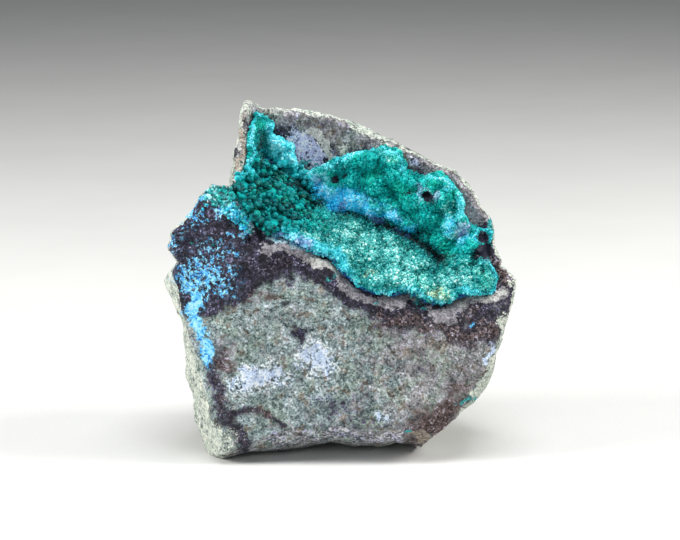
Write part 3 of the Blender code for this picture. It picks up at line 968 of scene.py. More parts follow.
@dataclass
class HostRock:
    """The broken rock: a net of points over the front, and rings that run down its sides and back.

    The rings start at the net's rim. They keep its outline down the sides, shrink to a pole behind,
    and are drawn in to the flat breaks of the back.
    """

    plane: FacePlane
    bare: BareRock
    edges: CrustEdges
    net: int = 236
    side_rings: int = 26
    back_rings: int = 18
    net_radius: float = 24.0
    net_stretch: int = 4
    back_out: float = -23.0
    notch_depth: float = 0.3
    core: tuple[float, float, float] = (0.0, 23.0, -6.0)
    breaks: tuple[tuple[tuple[float, float, float], float], ...] = (
        ((0.06, -0.1, -1), 14.5), ((0.1, 0.66, -0.75), 19.5), ((0.8, 0.16, -0.58), 17.8),
        ((-0.84, 0.1, -0.53), 17.6), ((0.58, -0.52, -0.63), 17.5), ((-0.48, 0.52, -0.7), 19.2),
        ((-0.5, -0.62, -0.6), 21.5),
    )
    break_rounding: float = 0.04
    lumps: tuple[Place, ...] = ((7.0, 0.40), (3.0, 0.28), (1.5, 0.16), (0.8, 0.10), (0.45, 0.09))
    bare_margin: float = 1.5
    edge_width: float = 1.0
    edge_drop: float = 1.1
    edge_curve: float = 1.5
    pits: tuple[tuple[float, float, float, float], ...] = (
        (-14.8, 33.6, 1, 0.9), (-17, 36.4, 0.9, 0.7), (-12.9, 31.2, 0.8, 0.7), (-20.6, 30.6, 1.1, 0.7),
        (-18.3, 27.6, 1, 0.5), (-6.1, 17.6, 0.9, 0.6),
    )

    def _wear(self, across: Array, up: Array, inside: Array) -> Array:
        """Height worn off: a curve that fades inwards from the edge, and a bell for each pit."""
        share = 1.0 - np.clip(inside / self.edge_width, 0.0, 1.0)
        worn = self.edge_drop * share**self.edge_curve
        for place_across, place_up, radius, depth in self.pits:
            away = np.hypot(across - place_across, up - place_up) / radius
            worn = worn + depth * np.exp(-(away**2))
        return worn

    def _net_points(self) -> Array:
        """Points of the front's net, row by row.

        A square net is laid on a disc by shortening each coordinate by the root of one less half
        the square of the other. Its radius goes from that of a round net in the middle to the
        outline's at its rim.

        Returns:
            Array: Places across, up and out.
        """
        steps = np.linspace(-1.0, 1.0, self.net + 1)
        wide, high = (axis.ravel() for axis in np.meshgrid(steps, steps))
        right = wide * np.sqrt(1.0 - high**2 / 2.0)
        top = high * np.sqrt(1.0 - wide**2 / 2.0)
        share, angle = np.minimum(np.hypot(right, top), 1.0), np.arctan2(top, right)
        reach = FRONT_OUTLINE.reach(angle)
        radius = self.net_radius + (reach - self.net_radius) * share**self.net_stretch
        radius = radius * share
        across = FRONT_OUTLINE.centre[0] + radius * np.cos(angle)
        up = FRONT_OUTLINE.centre[1] + radius * np.sin(angle)
        out = self.bare.relief(across, up) - self._wear(across, up, reach - radius)
        return np.stack([across, up, out], axis=-1)

    def surface(self, across: Array, up: Array) -> Array:
        """Points of the rough front at these places."""
        inside = FRONT_OUTLINE.inside(across, up)
        out = self.bare.relief(across, up) - self._wear(across, up, inside)
        return self._roughened(np.stack([across, up, out], axis=-1), np.zeros(len(across)))

    def _rim(self) -> Array:
        """Numbers of the net's points round its rim, against the clock."""
        index = np.arange((self.net + 1) ** 2).reshape(self.net + 1, self.net + 1)
        return np.concatenate([index[0, :-1], index[:-1, -1], index[-1, :0:-1], index[:0:-1, 0]])

    def _ring_points(self, rim: Array) -> tuple[Array, Array]:
        """Points of the rings behind the rim, ring by ring with the pole last, and their depths.

        Args:
            rim: The front's points round its rim.

        Returns:
            tuple: The points, and the share of the way back of each.
        """
        side = np.arange(1, self.side_rings + 1) / self.side_rings
        shrink = 1.0 - np.arange(1, self.back_rings) / self.back_rings
        back = np.concatenate([side, np.ones(self.back_rings - 1)])[:, None]
        width = np.concatenate([np.ones(self.side_rings), shrink])[:, None]
        centre = np.array(FRONT_OUTLINE.centre)
        angle = np.arctan2(rim[:, 1] - centre[1], rim[:, 0] - centre[0])[None, :]
        reach = np.hypot(rim[:, 0] - centre[0], rim[:, 1] - centre[1])[None, :]
        behind = np.minimum(BACK_OUTLINE.reach(angle), reach)
        radius = (reach + (behind - reach) * eased(0.0, self.notch_depth, back)) * width
        across = centre[0] + radius * np.cos(angle)
        up = centre[1] + radius * np.sin(angle)
        out = rim[None, :, 2] + (self.back_out - rim[None, :, 2]) * back + 0.0 * width
        points = np.stack([across, up, out], axis=-1).reshape(-1, 3)
        pole = np.array([[centre[0], centre[1], self.back_out]])
        depth = np.append(np.broadcast_to(back, out.shape).ravel(), 1.0)
        return self._broken(np.concatenate([points, pole])), depth

    def _broken(self, points: Array) -> Array:
        """Draw points beyond each flat break back to it, on their line to the core."""
        from_core = points - self.core
        keep = np.ones(len(points))
        for direction, distance in self.breaks:
            normal = np.array(direction) / np.linalg.norm(direction)
            reach = np.maximum(from_core @ normal, distance / 2.0)
            keep = soft_min(keep, distance / reach, self.break_rounding)
        return self.core + from_core * np.minimum(keep, 1.0)[:, None]

    def _roughened(self, points: Array, depth: Array) -> Array:
        """Push points out from the core by several sizes of noise, but not under the crust."""
        cover = self.edges.cover(points[:, 0], points[:, 1], self.bare_margin) * (depth == 0.0)
        sizes = enumerate(self.lumps)
        height = sum(tall * noise(points, size, seed) for seed, (size, tall) in sizes)
        outward = unit(points - self.core)
        return points + outward * (height * (1.0 - cover))[:, None]

    def _faces(self, rim: Array) -> list[list[int]]:
        """Quads of the net and of the rings, and the triangles round the pole, turned outwards.

        Args:
            rim: Numbers of the net's points round its rim.

        Returns:
            list: The faces.
        """
        net = grid_faces(self.net + 1, self.net + 1)
        first = (self.net + 1) ** 2
        rings = self.side_rings + self.back_rings - 1
        index = first + np.arange(rings * len(rim)).reshape(rings, len(rim))
        index = np.vstack([rim, index])
        turned = np.roll(index, -1, axis=1)
        corners = [index[:-1], index[1:], turned[1:], turned[:-1]]
        quads = np.stack(corners, axis=-1).reshape(-1, 4)
        pole = np.full(len(rim), first + rings * len(rim))
        fan = np.stack([index[-1], pole, turned[-1]], axis=-1)
        return net.tolist() + quads.tolist() + fan.tolist()

    def build(self, finish: RockFinish) -> bpy.types.Object:
        """Build the rock and dress it.

        Args:
            finish: The rock's finish.

        Returns:
            bpy.types.Object: The rock, in place of its plain solid.
        """
        front, rim = self._net_points(), self._rim()
        behind, behind_depth = self._ring_points(front[rim])
        smooth = np.concatenate([front, behind])
        depth = np.concatenate([np.zeros(len(front)), behind_depth])
        points = self._roughened(smooth, depth)
        world = self.plane.to_world(*points.T)
        world[:, 2] = np.maximum(world[:, 2], 0.0)
        piece = make_piece("rock", world, self._faces(rim))
        piece.data.shade_smooth()
        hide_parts("host_rock")
        write_marks(piece, RockMarks(self.bare).values(smooth, depth))
        piece.data.materials.append(finish.material())
        return piece


@dataclass(frozen=True)
class Cloud:
    """A mark's strength behind the front: a middle value, and noise of one size about it."""

    middle: float
    swing: float
    size: float
    seed: int

    def at(self, points: Array) -> Array:
        """Strength at these places."""
        return self.middle + self.swing * noise(points, self.size, self.seed)


ROCK_BEHIND = {
    "rust": Cloud(0.28, 0.42, 5.0, 33), "dark": Cloud(0.42, 0.35, 9.0, 31),
    "cream_and_rim_highlight": Cloud(0.5, 0.4, 6.0, 32),
}
ROCK_FILMS: dict[str, Marks] = {
    "blue": (
        Blot(-20.5, 22.8, 0.95, 2.2, 2.5), Blot(-20.1, 18.8, 0.68, 1.9, 2.5),
        Blot(-19.3, 15.2, 0.62, 1.4, 2.5), Blot(-21.8, 25.4, 1.1, 1.6, 0.86),
        Blot(-19.6, 25.8, 4, 2.3, 0.56), Blot(-16.4, 24.9, 2.4, 2, 0.44),
        Blot(-20.8, 33.2, 1.8, 1.4, 0.4), Blot(-14.3, 28.9, 1.8, 0.8, 0.44), Blot(-18, 29, 4, 2.4, 0.27),
        Blot(-23, 31, 1, 2, 0.34), Blot(-13.9, 33, 0.6, 1.5, 1.1, 20), Blot(-15.6, 31.6, 1.6, 0.4, 0.62),
        Blot(-17.9, 34.9, 1, 1.3, 0.62), Blot(18.4, 19.5, 0.4, 0.3, 0.9), Blot(18, 31.2, 1.8, 1, 0.62),
        Streak(((-21.9, 33.9), (-20.2, 36.6), (-18.8, 38.4)), 0.35, 0.7),
    ),
    "teal": (
        Streak(((-19.6, 37.4), (-18.4, 39), (-17.4, 38.3)), 0.6, 0.95),
        Streak(((-17.2, 37.9), (-15, 37), (-13.4, 35)), 0.8, 0.7),
        Streak(((21.2, 33), (21.7, 30.6)), 0.5, 0.9), Blot(12.5, 2.9, 0.45, 0.7, 1.2, -30),
        Blot(8.9, 3.3, 0.8, 0.3, 0.8), Blot(18.2, 7.9, 1.5, 0.5, 1, 35),
        Blot(11.2, 21.6, 1.6, 0.7, 0.62, -10), Blot(6, 22.6, 1.4, 0.5, 0.5),
        Blot(-1, 25.7, 1.2, 0.6, 0.5), Blot(-4.6, 41.6, 0.9, 0.8, 0.5),
    ),
    "pale": (
        Blot(-11.1, 11.6, 4.6, 2, 0.9, 8), Blot(-15, 10.8, 1.6, 1.2, 0.62),
        Blot(-3.2, 14.8, 2.6, 2.5, 0.9, 40), Blot(5.6, 6.6, 1.4, 0.9, 0.78), Blot(-2.5, 9.5, 4.5, 2, 0.4),
        Blot(-19.2, 36.2, 0.9, 1.9, 0.8, -30), Blot(-15.8, 34, 2.4, 1.9, 0.58),
        Streak(((20.9, 17.2), (20, 13)), 0.55, 0.92),
    ),
    "rust": (
        Blot(13.6, 5.6, 6.4, 2.4, 1.15, 30), Blot(16.5, 10, 4.4, 3, 0.58),
        Blot(-11.4, 22.6, 1.8, 1, 0.66), Blot(11, 15.4, 4, 2.4, 0.4), Blot(-9.4, 4, 1.4, 0.8, 0.45),
        Blot(-16.6, 14.2, 2.4, 3.2, 0.6), Streak(((-16.8, 9), (-14.6, 2.4)), 1.2, 0.3),
        Blot(-10.6, 6.4, 3, 0.9, 0.46), Blot(-9, 27.6, 4, 1.6, 0.3), Blot(4, 17.6, 3, 1.4, 0.38),
        Streak(((5.6, 20.6), (9.4, 19.8), (13.6, 18.8), (17.6, 17.9), (21.4, 18.4)), 1.3, 0.56),
        Blot(18.6, 21, 2, 1, 0.5), Blot(22.9, 26.4, 1.3, 2.8, 0.72),
        Streak(((16.8, 38.8), (18.8, 36.2), (19.8, 34.2)), 1.3, 0.66),
    ),
    "lilac": (
        Blot(-4.9, 44, 2.4, 2.7, 0.96, -20), Blot(-3.6, 42.3, 1.9, 1.5, 0.96),
        Blot(-7.4, 47.8, 2.2, 1.3, 0.7), Streak(((-9, 2.4), (-4, 3.5), (3, 3.8), (7.6, 3.4)), 1.1, 0.42),
        Blot(10, 41.7, 1.6, 1.1, 0.85, -25), Blot(-1, 42.9, 1.5, 1, 0.7), Blot(2.2, 46, 3, 1, 0.42, -20),
        Blot(16.8, 31.9, 0.8, 0.9, 0.8),
    ),
    "lip": (
        Blot(-0.9, 45.3, 1.4, 1.2, 0.62, 40), Streak(((-14.8, 44.6), (-15.2, 40.4)), 0.55, 0.85),
        Blot(-7.8, 47.8, 2.6, 1.2, 0.75, -10), Blot(17.9, 35, 3, 1.8, 0.92, -50),
        Blot(20, 33.6, 1, 0.9, 0.7),
        Streak(((11.6, 42.4), (14.6, 40.9), (17.4, 38.4), (19.4, 35.6)), 1.3, 0.58),
        Streak(((-10, 30), (-8.2, 30.4), (-5.9, 29.2), (-3.4, 28.1)), 1.1, 0.92),
        Streak(((0.2, 25.3), (2.4, 23.6), (5.3, 22.7), (8.6, 22.5), (10.2, 22.1)), 0.85, 1.1),
        Blot(14.6, 20.7, 1.6, 1.2, 1.1), Streak(((11, 22.2), (14, 21.2)), 0.5, 0.6),
        Streak(((15.6, 21.9), (19, 22.8), (22.4, 23)), 0.75, 1),
    ),
    "bone": (
        Streak(((-4, 28.2), (-2.4, 28), (-0.9, 27), (-0.2, 26)), 0.62, 1.25),
        Streak(((16.5, 22), (19.6, 22.8), (22.6, 22.9)), 0.28, 0.85), Blot(21.6, 23.2, 1, 0.7, 0.7),
        Streak(((-3.4, 46.4), (-2.2, 44.6), (-0.8, 42.8)), 0.9, 0.84),
    ),
    "snow": (
        Streak(((-18.7, 38.6), (-18, 37.2), (-16.6, 35.8), (-14.6, 34.8)), 0.9, 0.72),
        Blot(-15.4, 35.2, 2.2, 1.5, 0.66, -30), Blot(-13.2, 33.8, 1, 1.6, 0.62),
        Streak(((-11.8, 32.6), (-9.8, 31.3), (-7.6, 31.2), (-5.4, 29.9)), 0.6, 0.66),
        Blot(16.4, 32.6, 1, 0.9, 0.6),
    ),
    "tan": (
        Blot(11.1, 2.9, 1.3, 0.8, 1.3), Streak(((9.2, 3.1), (11.2, 3.9), (12.8, 3.4)), 0.3, 0.9),
        Streak(((-13.6, 46.4), (-14.4, 43), (-15.4, 39.8)), 0.8, 0.62), Blot(-12.9, 48.6, 0.9, 1.2, 0.58),
        Blot(16.3, 33.4, 0.9, 0.8, 0.95),
    ),
}


@dataclass(frozen=True)
class RockMarks:
    """Where each colour lies on the rock."""

    bare: BareRock
    band_foot: tuple[Place, ...] = (
        (-25, 20), (-18.8, 20.8), (-16.9, 21.8), (-14.4, 22.5), (-12.2, 23.2), (-10.6, 24.8), (-8.5, 26),
        (-6, 26.3), (-2.8, 25.1), (-0.9, 23.4), (0.6, 22), (4.2, 20.8), (7, 19.8), (9.8, 19.2),
        (12.6, 18.4), (15.7, 18.1), (19.6, 17.5), (25, 16.8),
    )
    band_ease: float = 2.4
    band_noise: float = 2.2
    band_torn: Place = (0.05, 0.3)
    band_torn_across: Place = (-4.0, 14.0)
    # Dark veins; the wide faint blots at (0, 8) and (2, 5.2) are painted shade low on the face.
    veins_and_low_shade: Marks = (
        Blot(-17.6, 14.6, 2, 3, 0.8, 20), Streak(((-19, 13.6), (-17.5, 9.9)), 1, 0.8),
        Streak(((-17.1, 9.2), (-15.3, 5.7), (-14.2, 1.8)), 1.4, 0.8),
        Streak(((-14.8, 6.8), (-11.6, 6.7), (-9.6, 6), (-7.8, 4.6)), 0.7, 0.76),
        Blot(-5.6, 17.6, 1.1, 1, 1), Blot(-7, 21.6, 0.6, 0.6, 0.9), Blot(6, 19.5, 3.5, 1.4, 0.52),
        Blot(12, 13, 4, 3, 0.36), Blot(0, 8, 6.4, 3, 0.44),
        Streak(((8.2, 3.2), (11.1, 4.6), (13.2, 3.8)), 0.32, 1), Blot(2, 5.2, 10, 2, 0.4),
        Blot(-12, 12, 1.5, 1.5, 0.3),
    )
    # Partly the pale colour of the rock and fin, partly painted rim highlight along the top and right
    # edges.
    creams_and_rim_highlights: Marks = (
        Streak(((-13.2, 50.4), (-14, 48.5), (-13.9, 45), (-14.4, 42), (-15.2, 39.2)), 1.4, 0.66),
        Streak(((-9, 50), (-3, 49.3), (0.5, 47.6), (4, 45.6), (8, 43.9)), 0.8, 0.66),
        Blot(-17.6, 2.8, 2.6, 3.2, 0.84), Blot(-9.6, 48.2, 1.6, 1.6, 0.6),
        Blot(1, 44.2, 1.2, 1.6, 0.55, 40), Blot(-0.2, 42.4, 1.6, 0.4, 0.6, -35),
        Streak(((24.3, 22), (23.4, 18.6), (21.8, 14.9), (20.4, 11.6), (19.4, 9.2)), 0.75, 1),
        Blot(22.6, 19.4, 1, 1.3, 0.74), Blot(23.6, 24.4, 0.8, 0.8, 0.66),
    )
    upper_light: Streak = Streak((
        (-15, 45), (-13, 50), (-4, 47.6), (4, 44.6), (14, 40.6), (19.4, 35.4),
    ), 2.6)
    thinning: float = 0.62
    front_depth: float = 0.1
    # Strength and widths of the painted rim highlight round the outline and on the side facet.
    rim_highlight_strength: float = 1.05
    rim_wide: float = 0.5
    rim_foot: Place = (5.0, 8.0)
    facet_wide: float = 0.5
    scallop_deep: float = 0.4
    warm_across: Place = (-2.0, 14.0)
    warm_top: Place = (38.0, 44.0)
    warmth: tuple[float, float, float] = (0.75, 0.45, 0.9)

    def _dark(self, across: Array, up: Array) -> Array:
        """The dark band: all that lies above its foot, and the dark veins and painted shade below it."""
        foot = np.interp(across, *np.array(self.band_foot).T)
        above = eased(-self.band_ease, self.band_ease / 2.0, up - foot)
        torn = face_noise(across, up, self.band_noise, 37)
        least, more = self.band_torn
        above = above + (least + more * eased(*self.band_torn_across, across)) * torn
        thin = self.thinning * self.upper_light.on(across, up)
        return np.maximum(above - thin, marked(self.veins_and_low_shade, across, up))

    def _rim_highlight(self, points: Array) -> Array:
        """Painted rim highlight on the side facet, and along the face's outline except at its foot."""
        across, up = points[:, 0], points[:, 1]
        facet = eased(0.0, self.facet_wide, self.bare.face.facet_share(across, up))
        rim = eased(self.rim_wide, 0.0, FRONT_OUTLINE.inside(across, up))
        rim = rim * eased(*self.rim_foot, up)
        return np.maximum(self.rim_highlight_strength * facet, self.rim_highlight_strength * rim)

    def _warm(self, points: Array, across: Array, up: Array) -> Array:
        """Warmth of the grains: to the right, in the scallop and along the top."""
        right, scalloped, top = self.warmth
        scallop = self.bare.face.scallop_share(points[:, 0], points[:, 1])
        warm = right * eased(*self.warm_across, across)
        warm = warm + scalloped * eased(0.0, self.scallop_deep, scallop)
        return warm + top * eased(*self.warm_top, up)

    def values(self, points: Array, depth: Array) -> dict[str, Array]:
        """Work out every mark of the rock.

        Args:
            points: Places across, up and out.
            depth: Share of the way back, 0 on the front.

        Returns:
            dict: Values by the mark's name.
        """
        front = eased(self.front_depth, 0.0, depth)
        across, up = strayed(points[:, 0], points[:, 1], seed=61)
        values = {name: marked(marks, across, up) for name, marks in ROCK_FILMS.items()}
        values["dark"] = self._dark(across, up)
        # Pale colour joined with the painted rim highlight.
        values["cream_and_rim_highlight"] = np.maximum(marked(self.creams_and_rim_highlights, across, up), self._rim_highlight(points))
        values = {name: strength * front for name, strength in values.items()}
        for name, cloud in ROCK_BEHIND.items():
            values[name] = values[name] + (1.0 - front) * cloud.at(points)
        return values | {"warm": self._warm(points, across, up)}


class Growth(Enum):
    """The ways in which the crystals grow."""

    FLOOR = "floor"
    KNOB = "knob"
    WALL = "wall"
    LEDGE = "ledge"


@dataclass(frozen=True)
class CrystalHabit:
    """How the crystals of one growth look.

    Sizes are in millimetres, least and most. The tone is that in the gaps, then what is added on the
    tops, at the tip of each crystal and at most by chance; the first three paint light and shade.
    """

    width: Place
    length: Place
    tilt: float
    shoulders: tuple[Place, ...]
    tone: tuple[float, float, float, float]


SHARP = ((1.0, -0.35), (0.92, 0.5))
ROUNDED = ((1.0, -0.3), (1.0, 0.45), (0.66, 0.86))
HABITS = {
    Growth.FLOOR: CrystalHabit((0.24, 0.54), (0.2, 0.62), 0.45, SHARP, (0.02, 0.58, 0.2, 0.22)),
    Growth.KNOB: CrystalHabit((0.45, 1.3), (0.36, 0.95), 0.3, ROUNDED, (-0.1, 0.3, 0.32, 0.26)),
    Growth.WALL: CrystalHabit((0.28, 0.62), (0.14, 0.42), 0.42, SHARP, (0.21, 0.42, 0.18, 0.22)),
    Growth.LEDGE: CrystalHabit((0.28, 0.62), (0.15, 0.5), 0.45, SHARP, (0.3, 0.0, 0.26, 0.34)),
}


CRUST_FILMS: dict[str, Marks] = {
    "mint": (
        Blot(6.5, 28.6, 7.8, 4, 0.92, -32), Blot(15, 25.6, 7, 2.6, 0.66, 10),
        Blot(0.6, 31.8, 4.2, 2.2, 0.3, -32), Blot(-8.2, 43.6, 1.6, 2.6, 1.05, 40),
        Blot(15, 34.6, 1.5, 2, 0.5), Blot(6.8, 43, 2.2, 1, 0.5, -15),
        Streak(((-6, 31.4), (-1.8, 30.2), (0.8, 28.2)), 1, 0.95), Blot(-18.4, 37.6, 1.4, 1.8, 1.1),
        Blot(-16, 35, 2, 1.6, 0.72),
    ),
    "sand": (
        Blot(13.4, 23.6, 1.9, 1.3, 0.62, -35), Blot(8.6, 26.6, 1.4, 1.2, 0.34),
        Blot(16.4, 31.9, 0.8, 0.7, 0.66), Blot(4.4, 26.6, 1, 0.6, 0.42),
    ),
    "cyan": (
        Streak(((-7, 31.2), (-4.7, 29.9), (-2.3, 29.2), (-0.2, 28.1), (0.9, 26.4)), 0.9, 1.2),
        Streak(((0.9, 26.8), (2.7, 25.1), (5.2, 24.2), (9.8, 24), (14.3, 22.6)), 0.35, 0.8),
        Streak(((14.3, 22.5), (17.5, 23.7), (21.5, 24), (21.9, 26.4), (20.6, 28.4)), 0.4, 0.7),
        Streak(((-11.4, 43.2), (-9.6, 42.6), (-7.6, 41.2), (-5.6, 39.6)), 0.5, 0.6),
        Streak(((-9.2, 45.6), (-7.2, 44.6), (-6.4, 42.8), (-5.6, 40.6), (-3.6, 39.6)), 1.1, 1.05),
        Streak(((-12.4, 47.6), (-12.9, 44.5), (-13.2, 41.9), (-15, 39.6)), 0.42, 1.15),
        Streak(((-12, 48.6), (-10.8, 48.8), (-9.6, 47.8)), 0.5, 0.6),
        Streak(((-4.9, 41), (-2.5, 41.4), (1.6, 43), (6, 44), (8.4, 43.2)), 0.6, 0.66),
        Streak(((8.6, 43.4), (8.8, 41), (11.4, 40), (14.2, 40), (16.2, 38.4)), 0.5, 0.62),
        Streak(((16.4, 38), (16.8, 36), (16.4, 34), (15.6, 32.4)), 0.7, 0.66),
        Blot(-1.8, 40.2, 2.4, 1, 0.55), Blot(-8, 43.6, 2.8, 2.4, 1.3, -30),
        Blot(15.4, 31.4, 1.2, 1.2, 0.8), Blot(20.4, 32, 1.5, 1.4, 0.85),
        Streak(((21.4, 33), (21.8, 30)), 0.5, 0.9),
    ),
    "blue": (
        Streak(((-3.6, 38.6), (-2.2, 38), (0.4, 36.8), (3.4, 35.4)), 1.2, 1.1),
        Blot(1.4, 37.6, 2.4, 1.1, 0.95, -25), Blot(-0.6, 36.6, 2, 1, 0.9, -30),
        Blot(4.6, 34.6, 1.6, 1.4, 0.72), Blot(7.2, 35, 2.2, 1, 0.9, -20),
        Blot(3.4, 36.9, 1.9, 1, 0.74, -25), Blot(9.6, 33.6, 1.6, 0.7, 0.65, -15),
        Blot(15.2, 32.8, 1, 1.4, 0.6), Blot(18, 31.2, 1.5, 0.9, 0.6), Blot(14.6, 38.6, 0.9, 0.7, 0.42),
        Blot(-15.2, 34.6, 2.8, 1.6, 0.62), Blot(-13.8, 32.4, 1.2, 1.8, 0.9),
        Blot(-18.8, 35.2, 1.2, 2, 0.62),
    ),
    "haze": (
        Blot(8, 32.8, 0.7, 0.6, 0.95), Blot(9.6, 32.4, 0.7, 0.6, 0.85), Blot(-3.2, 39.6, 1.2, 0.7, 0.6),
        Blot(1, 36.2, 1.6, 0.9, 0.55, -25), Blot(4.8, 33.9, 1.2, 0.9, 0.85),
        Blot(17.3, 32.3, 1.2, 0.8, 0.95, -25), Blot(-7.6, 31.2, 1.5, 0.6, 0.8),
        Blot(12.2, 37.2, 1.25, 1.15, 0.8), Blot(-5, 30.2, 1.6, 0.6, 0.9, -25),
    ),
}


@dataclass(frozen=True)
class CrustMarks:
    """Where each colour lies on the crust and its crystals, and where grooves run."""

    navies: Marks = (
        Streak(((-7.2, 31.5), (-4.8, 29.7), (-2.6, 29), (-0.6, 27.9), (0.4, 26.2)), 0.18, 0.7),
        Streak(((0.4, 26.2), (2.5, 24.6), (5.2, 23.4), (9.8, 23.4), (12.3, 22.4)), 0.2, 0.95),
        Streak(((12.3, 22.4), (14.3, 21.9), (17.5, 23.2), (22, 23.6)), 0.18, 1),
        Streak(((-10.6, 42.4), (-8.8, 41.4), (-7.4, 40.4)), 0.3, 0.6),
    )
    # The first two blots are the dark nodules' own colour; the rest paint shade into the cup and the
    # small holes.
    darks_and_pit_shade: Marks = (
        Blot(20.4, 29.5, 1.25, 1.15, 1.6), Blot(20, 31.3, 0.74, 0.64, 1.5),
        Blot(12.2, 37.2, 0.66, 0.9, 1.4), Blot(-0.5, 39.8, 0.6, 0.7, 1.1), Blot(1, 40.2, 0.5, 0.5, 0.8),
        Blot(9.8, 37.4, 0.5, 0.5, 0.6),
    )
    grooves: Marks = (
        Streak(((5, 34), (7.6, 32.6), (10.2, 31.4), (12.6, 29.8), (14.4, 28.4)), 0.9, 1),
        Blot(10.6, 31.6, 1.7, 1.2, 1), Blot(-9.4, 40.2, 2.4, 1, 0.3, -25),
        Streak(((-11, 46), (-11.4, 43.6), (-10, 42.2), (-8.2, 41), (-6.2, 39), (-4.8, 37.5)), 0.75, 1),
        Streak(((-4, 36.8), (0.5, 34.8), (4.5, 33.8)), 0.8, 0.55),
    )

    def values(self, across: Array, up: Array) -> dict[str, Array]:
        """Work out every mark of the crust. The dark ones stray half as far as the others.

        Args:
            across: Places across the face.
            up: Places up the face.

        Returns:
            dict: Values by the mark's name.
        """
        near_across, near_up = strayed(across, up, seed=81)
        halfway = (across + near_across) / 2.0, (up + near_up) / 2.0
        films = {name: marked(marks, near_across, near_up) for name, marks in CRUST_FILMS.items()}
        return films | {"dark": marked(self.darks_and_pit_shade, *halfway), "navy": marked(self.navies, *halfway)}


